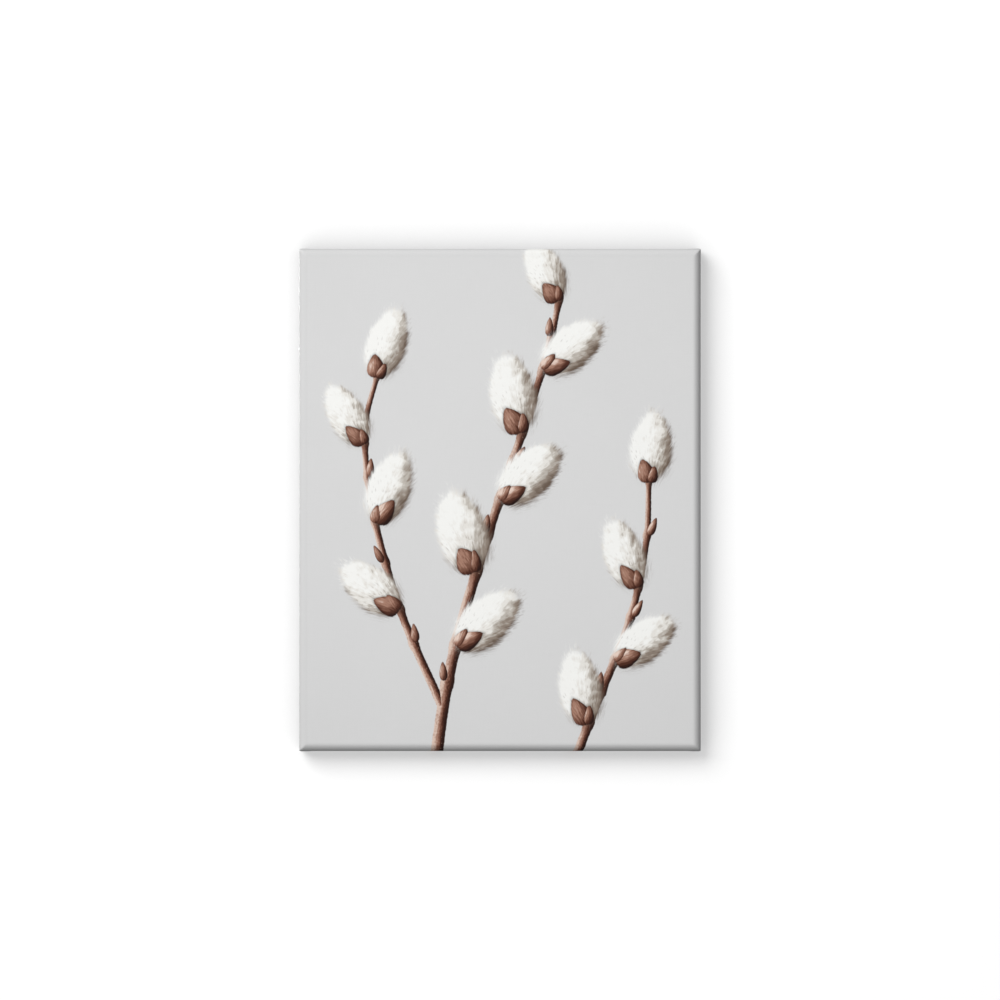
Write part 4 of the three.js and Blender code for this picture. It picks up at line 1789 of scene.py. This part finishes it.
@dataclass
class SawtoothHanger:
    """The pressed strip that the panel hangs by, with a toothed lower edge.

    Attributes:
        thickness: How thick the strip is.
        crest: How long its raised middle is.
        ramp: How long each of the bends is that lead down to its ends.
        end_radius: The radius of its corners.
        tooth_pitch: The distance between teeth.
        tooth_depth: How deep the notches are.
        teeth: How many teeth there are.
        edge: How far in its edges are rounded.
    """

    thickness: float = 0.8
    crest: float = 28.0
    ramp: float = 2.6
    end_radius: float = 2.2
    tooth_pitch: float = 3.0
    tooth_depth: float = 1.5
    teeth: int = 8
    edge: float = 0.22

    @property
    def toothed(self) -> float:
        """How far from the middle the toothed edge reaches."""
        return self.tooth_pitch * (self.teeth + 1) / 2

    def stations(self, half: float) -> Array:
        """Return places along the strip, close together at its ends, bends and teeth."""
        bend = self.crest / 2
        nearly_upright = 1.5
        turn = np.linspace(0, nearly_upright, 7)[1:]
        right = np.concatenate([
            np.arange(0, self.toothed, self.tooth_pitch / 4),
            np.linspace(self.toothed, bend, 2)[:-1],
            np.linspace(bend, bend + self.ramp, 9),
            np.linspace(bend + self.ramp, half - self.end_radius, 4)[1:],
            half - self.end_radius * (1 - np.sin(turn)),
        ])
        return np.concatenate([-right[:0:-1], right])

    def build(self, finish: bpy.types.Material) -> None:
        """Make the strip: a thin rounded section that follows both edges of its face.

        Args:
            finish: The strip's material.
        """
        low, high = box_mm("hanger")
        half = (high[0] - low[0]) / 2
        x = self.stations(half)
        away = np.abs(x)
        stand = high[1] - low[1] - self.thickness
        step = smooth_step(self.crest / 2, self.crest / 2 + self.ramp, away)
        y = high[1] - self.thickness / 2 - stand * step
        past = np.maximum(away - (half - self.end_radius), 0)
        rounding = self.end_radius - np.sqrt(np.maximum(self.end_radius**2 - past**2, 0))
        phase = np.mod(x / self.tooth_pitch, 1)
        notch = self.tooth_depth * np.abs(2 * phase - 1)
        notch = np.where(away < self.toothed, notch, 0)
        bottom, top = low[2] + rounding + notch, high[2] - rounding
        line = np.column_stack([x + (low[0] + high[0]) / 2, y, (bottom + top) / 2])
        tangent = tangents(line[:, :2])
        normal = np.column_stack([-tangent[:, 1], tangent[:, 0], np.zeros(len(x))])
        points, faces = sweep(
            line, np.broadcast_to([0.0, 0.0, 1.0], line.shape), normal, self.sections(top - bottom)
        )
        piece = new_piece("hanger_strip", points, faces, crease=35)
        set_finishes(piece, [finish])
        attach(piece, BODY)
        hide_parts("hanger")
        LOG.info("%s: %d stations", piece.name, len(x))

    def sections(self, widths: Array) -> Array:
        """Return a flat section for each width, with its two edges rounded over.

        Each round edge has a point more at both ends, a little way in, which keeps the
        faces beside it flat.
        """
        arc = np.linspace(-math.pi / 2, math.pi / 2, 7)
        out = self.edge * np.concatenate([[-1], np.cos(arc), [-1]])
        up = np.sin(arc)[[0, *range(7), 6]] * self.thickness / 2
        reach = (widths / 2 - self.edge)[:, None] + out
        right = np.stack([reach, np.broadcast_to(up, reach.shape)], axis=-1)
        return np.concatenate([right, -right], axis=1)


@dataclass
class RoundNails:
    """The nails that hold the hanger: domed heads on pointed shanks.

    Attributes:
        head_radius: The radius of a head.
        head_height: How high it is in its middle.
        rim: How high its upright rim is.
        dome: The angle where its small flat top starts, and the power that rounds it.
        seat: How far its under side lies below the top of the model's nail.
        shank_radius: The radius of a shank.
        point: The radius of its tip, and how long its point is.
        eased: How far the edges under the head are eased.
        sides: How many sides a nail has.
    """

    head_radius: float = 1.9
    head_height: float = 0.75
    rim: float = 0.16
    dome: tuple[float, float] = (1.45, 0.8)
    seat: float = 0.6
    shank_radius: float = 0.7
    point: tuple[float, float] = (0.05, 2.0)
    eased: float = 0.1
    sides: int = 28

    def profile(self, foot: float) -> Array:
        """Return the radius and the height of a nail's rings, from its tip up.

        Args:
            foot: The height of its tip against the head's under side.

        Returns:
            One row for each ring.
        """
        top, power = self.dome
        tip, pointed = self.point
        arc = np.linspace(0, top, 8)
        head = np.column_stack([
            self.head_radius * np.cos(arc) ** power,
            self.rim + (self.head_height - self.rim) * np.sin(arc),
        ])
        shank = np.array([
            [tip, foot],
            [self.shank_radius, foot + pointed],
            [self.shank_radius, -self.eased],
            [self.shank_radius + self.eased, 0.0],
            [self.head_radius - self.eased, 0.0],
            [self.head_radius, self.rim / 2],
        ])
        return np.vstack([shank, head])

    def build(self, finish: bpy.types.Material) -> None:
        """Make the nails, each as a profile that is revolved about y.

        Args:
            finish: The nails' material.
        """
        for node in nodes_named("nail_"):
            low, high = box_mm(node)
            middle, rest = (low + high) / 2, high[1] - self.seat
            profile = self.profile(low[1] - rest)
            rings = profile[:, :1, None] * circle(self.sides)
            rise = np.broadcast_to(profile[:, 1:] + rest, rings.shape[:2])
            points = np.stack([rings[..., 0] + middle[0], rise, rings[..., 1] + middle[2]], axis=-1)
            faces = tube(len(profile), self.sides)
            piece = new_piece(f"round_{node}", points.reshape(-1, 3), faces, crease=50)
            set_finishes(piece, [finish])
            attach(piece, BODY)
            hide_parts(node)
            LOG.info("%s", piece.name)


# -------------------- studio


@dataclass(frozen=True)
class Lamp:
    """A square soft light that faces the panel.

    Attributes:
        name: Its name.
        towards: The direction that it lies in from the panel.
        distance: How far away it is, in metres.
        size: How wide it is, in metres.
        power: Its power in watts.
    """

    name: str
    towards: tuple[float, float, float]
    distance: float
    size: float
    power: float

    def hang(self, middle: Array) -> None:
        """Add it to the scene, facing the middle of the panel."""
        lamp = bpy.data.lights.new(self.name, "AREA")
        lamp.size = self.size
        lamp.energy = self.power
        holder = new_object(self.name, lamp)
        away = Vector(self.towards).normalized()
        holder.location = Vector(middle) + away * self.distance
        holder.rotation_euler = away.to_track_quat("Z", "Y").to_euler()
        holder.visible_camera = False


@dataclass
class Studio:
    """A white wall, a pale floor, a soft light from the upper left and a sky.

    Two weaker lights behind the panel show its back. The wall lets them through.

    Attributes:
        level: What a white surface that faces the camera gives back.
        key_share: The soft light's share of that, the rest being the sky's.
        key_from: The direction that the soft light comes from.
        key_distance: How far away it is, in metres.
        key_size: How wide it is, in metres.
        back_lights: The lights behind the panel.
        behind: What the sky gives from behind the wall, against what it gives in front.
        dusk: How far to both sides of the wall's plane the sky fades from one to the other.
        sky_seen: How bright the sky itself looks.
        wall_white: What the wall gives back where the panel is far off.
        wall_glow: How much of that doesn't depend on the light.
        wall_nook: How far from the panel the wall loses light to it, in metres.
        nook_lean: How far below straight ahead the wall gathers its light, in radians,
            which deepens the panel's shade above it.
        nook_depth: The most of its light that the wall loses.
        floor_glow: How much of the floor's brightness doesn't depend on the light.
        frame_width: The width that the camera sees at the panel's front, in metres.
        lens: The camera's focal length, for a sensor 36 mm wide.
        floor: The floor's height, in metres.
        wide: How far the wall and the floor reach from the middle, in metres.
        tall: How high the wall reaches, in metres.
        middle: The middle of the panel's front, in metres.
    """

    level: float = 1.155
    key_share: float = 0.65
    key_from: tuple[float, float, float] = (-1.05, -1.2, 1.1)
    key_distance: float = 8.0
    key_size: float = 6.0
    back_lights: tuple[Lamp, ...] = (
        Lamp("back_light", (-0.42, 0.88, 0.12), 3.4, 1.2, 104.0),
        Lamp("side_light", (0.5, 0.86, 0.05), 3.4, 1.2, 30.0),
    )
    behind: float = 0.22
    dusk: float = 0.2
    sky_seen: float = 0.86
    wall_white: float = 1.14
    wall_glow: float = 0.41
    wall_nook: float = 0.046
    nook_lean: float = 0.36
    nook_depth: float = 0.92
    floor_glow: float = 0.5
    frame_width: float = 0.9932
    lens: float = 100.0
    floor: float = -1.6
    wide: float = 9.0
    tall: float = 7.0
    middle: Array = field(init=False)

    def __post_init__(self) -> None:
        """Find the middle of the panel's front."""
        low, high = (np.array(corner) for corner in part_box("canvas"))
        self.middle = np.array([(low[0] + high[0]) / 2, low[1], (low[2] + high[2]) / 2])

    def build(self) -> None:
        """Make everything round the panel."""
        self.add_camera()
        self.add_sky()
        key = np.array(self.key_from) / np.linalg.norm(self.key_from)
        facing = -key[1]
        power = self.level * self.key_share * math.pi**2 * self.key_distance**2 / facing
        key_light = Lamp("key_light", tuple(key), self.key_distance, self.key_size, power)
        for lamp in (key_light, *self.back_lights):
            lamp.hang(self.middle)
        self.add_wall()
        self.add_floor()

    def add_camera(self) -> None:
        """Look straight at the middle of the panel, from where its front fills its share."""
        camera = bpy.data.cameras.new("camera")
        camera.lens = self.lens
        camera.sensor_width = 36.0
        distance = self.frame_width * camera.lens / camera.sensor_width
        eye = new_object("camera", camera)
        eye.location = self.middle - [0.0, distance, 0.0]
        eye.rotation_euler = (math.pi / 2, 0.0, 0.0)
        bpy.context.scene.camera = eye

    def add_sky(self) -> None:
        """Light the panel evenly from in front and faintly from behind, and show as pale grey."""
        world = bpy.data.worlds.new("sky")
        world.use_nodes = True
        world.node_tree.nodes.clear()
        bpy.context.scene.world = world
        bpy.context.scene.view_settings.view_transform = "Standard"
        graph = Graph(world.node_tree)
        _, deep, _ = graph.split(graph.add("TexCoord", {}, "Generated"))
        light = self.level * (1 - self.key_share)
        front = graph.fall(deep, -self.dusk, self.dusk)
        strength = light * self.behind + front * (light * (1 - self.behind))
        seen = graph.add("LightPath", {}, "Is Camera Ray")
        strength = strength * (1 - seen) + seen * self.sky_seen
        sky = graph.add("Background", {"Color": linear(255, 255, 255), "Strength": strength})
        output = graph.tree.nodes.new("ShaderNodeOutputWorld")
        graph.feed(output.inputs["Surface"], sky)

    def add_backdrop(
        self, name: str, corners: Sequence[Sequence[float]], finish: bpy.types.Material
    ) -> None:
        """Add a flat sheet of the studio, which only the camera sees."""
        mesh = bpy.data.meshes.new(name)
        mesh.from_pydata(corners, [], [tuple(range(len(corners)))])
        mesh.materials.append(finish)
        sheet = new_object(name, mesh)
        for ray in ("diffuse", "glossy", "transmission", "shadow", "volume_scatter"):
            setattr(sheet, f"visible_{ray}", False)

    def add_wall(self) -> None:
        """Add the wall, which is pure white but for the panel's shadow, cast by the lights and deepened
        by painted shade near the panel, and clear from behind.
        """
        graph, material = Graph.of_material("white_wall")
        glow = graph.add("Emission", {"Strength": self.wall_glow})
        # Painted shade: ambient occlusion darkens the wall's colour close to the panel.
        ahead = graph.join(0.0, -math.cos(self.nook_lean), -math.sin(self.nook_lean))
        reach = {"Distance": self.wall_nook, "Normal": ahead}
        nook = graph.add("AmbientOcclusion", reach, "AO", samples=24)
        kept = nook * self.nook_depth + (1 - self.nook_depth)
        share = kept * ((self.wall_white - self.wall_glow) / self.level)
        matt = graph.add("BsdfDiffuse", {"Color": graph.join(share, share, share)})
        lit = graph.add("AddShader", {0: glow, 1: matt})
        clear = graph.add("BsdfTransparent", {})
        behind = graph.add("NewGeometry", {}, "Backfacing")
        graph.end(graph.add("MixShader", {0: behind, 1: lit, 2: clear}))
        wide, low, high = self.wide, self.floor, self.tall
        corners = [(-wide, 0, low), (wide, 0, low), (wide, 0, high), (-wide, 0, high)]
        self.add_backdrop("wall", corners, material)

    def add_floor(self) -> None:
        """Add the pale floor."""
        graph, material = Graph.of_material("pale_floor")
        mottle = graph.noise(graph.add("TexCoord", {}, "Object"), 1.4, 3.0)
        colour = graph.shade(linear(236, 235, 232), 0.98 + (mottle - 0.5) * 0.04)
        glow = graph.add("Emission", {"Color": colour, "Strength": self.floor_glow})
        matt = graph.add("BsdfDiffuse", {"Color": graph.shade(colour, 1 - self.floor_glow)})
        graph.end(graph.add("AddShader", {0: glow, 1: matt}))
        wide, low = self.wide, self.floor
        corners = [(-wide, -wide, low), (wide, -wide, low), (wide, wide, low), (-wide, wide, low)]
        self.add_backdrop("floor", corners, material)


# -------------------- main


def hem_pins(spots: dict[str, Array], covered: float = 26.0) -> dict[str, Array]:
    """List where the hem is held down, from the middle of each side.

    Args:
        spots: The x and z of each side's staples.
        covered: How far from the middle the hanger holds the top's hem.

    Returns:
        For each side, the places along it: its staples, and the hanger on the top.
    """
    middle, _ = panel()
    pins = {}
    for side, places in spots.items():
        column = 1 if side in ("left", "right") else 0
        under = np.linspace(-covered, covered, 7) if side == "top" else []
        pins[side] = np.concatenate([places[:, column] - middle[column], under])
    return pins


def main() -> None:
    """Dress the part, piece by piece, and set up the studio."""
    logging.basicConfig(level=logging.INFO, format="%(name)s: %(message)s")
    Studio().build()
    zinc = PlatedSteel("galvanised_wire", linear(196, 199, 202), linear(150, 154, 158), 0.34)
    yellow = PlatedSteel("yellow_plate", linear(226, 190, 118), linear(180, 146, 84), 0.3)
    spots = WireStaples().build(zinc.build())
    plate = yellow.build()
    SawtoothHanger().build(plate)
    RoundNails().build(plate)
    StretcherFrame().dress()
    picture = Picture()
    canvas = StretchedCanvas(picture, hem_pins(spots))
    printed = PrintedCanvas(Inks(picture), canvas.flat_front)
    threads = FrayedEdge().build(CottonThread().build())
    canvas.build([printed.build(), RawCotton().build()], threads)


if __name__ == "__main__":
    main()
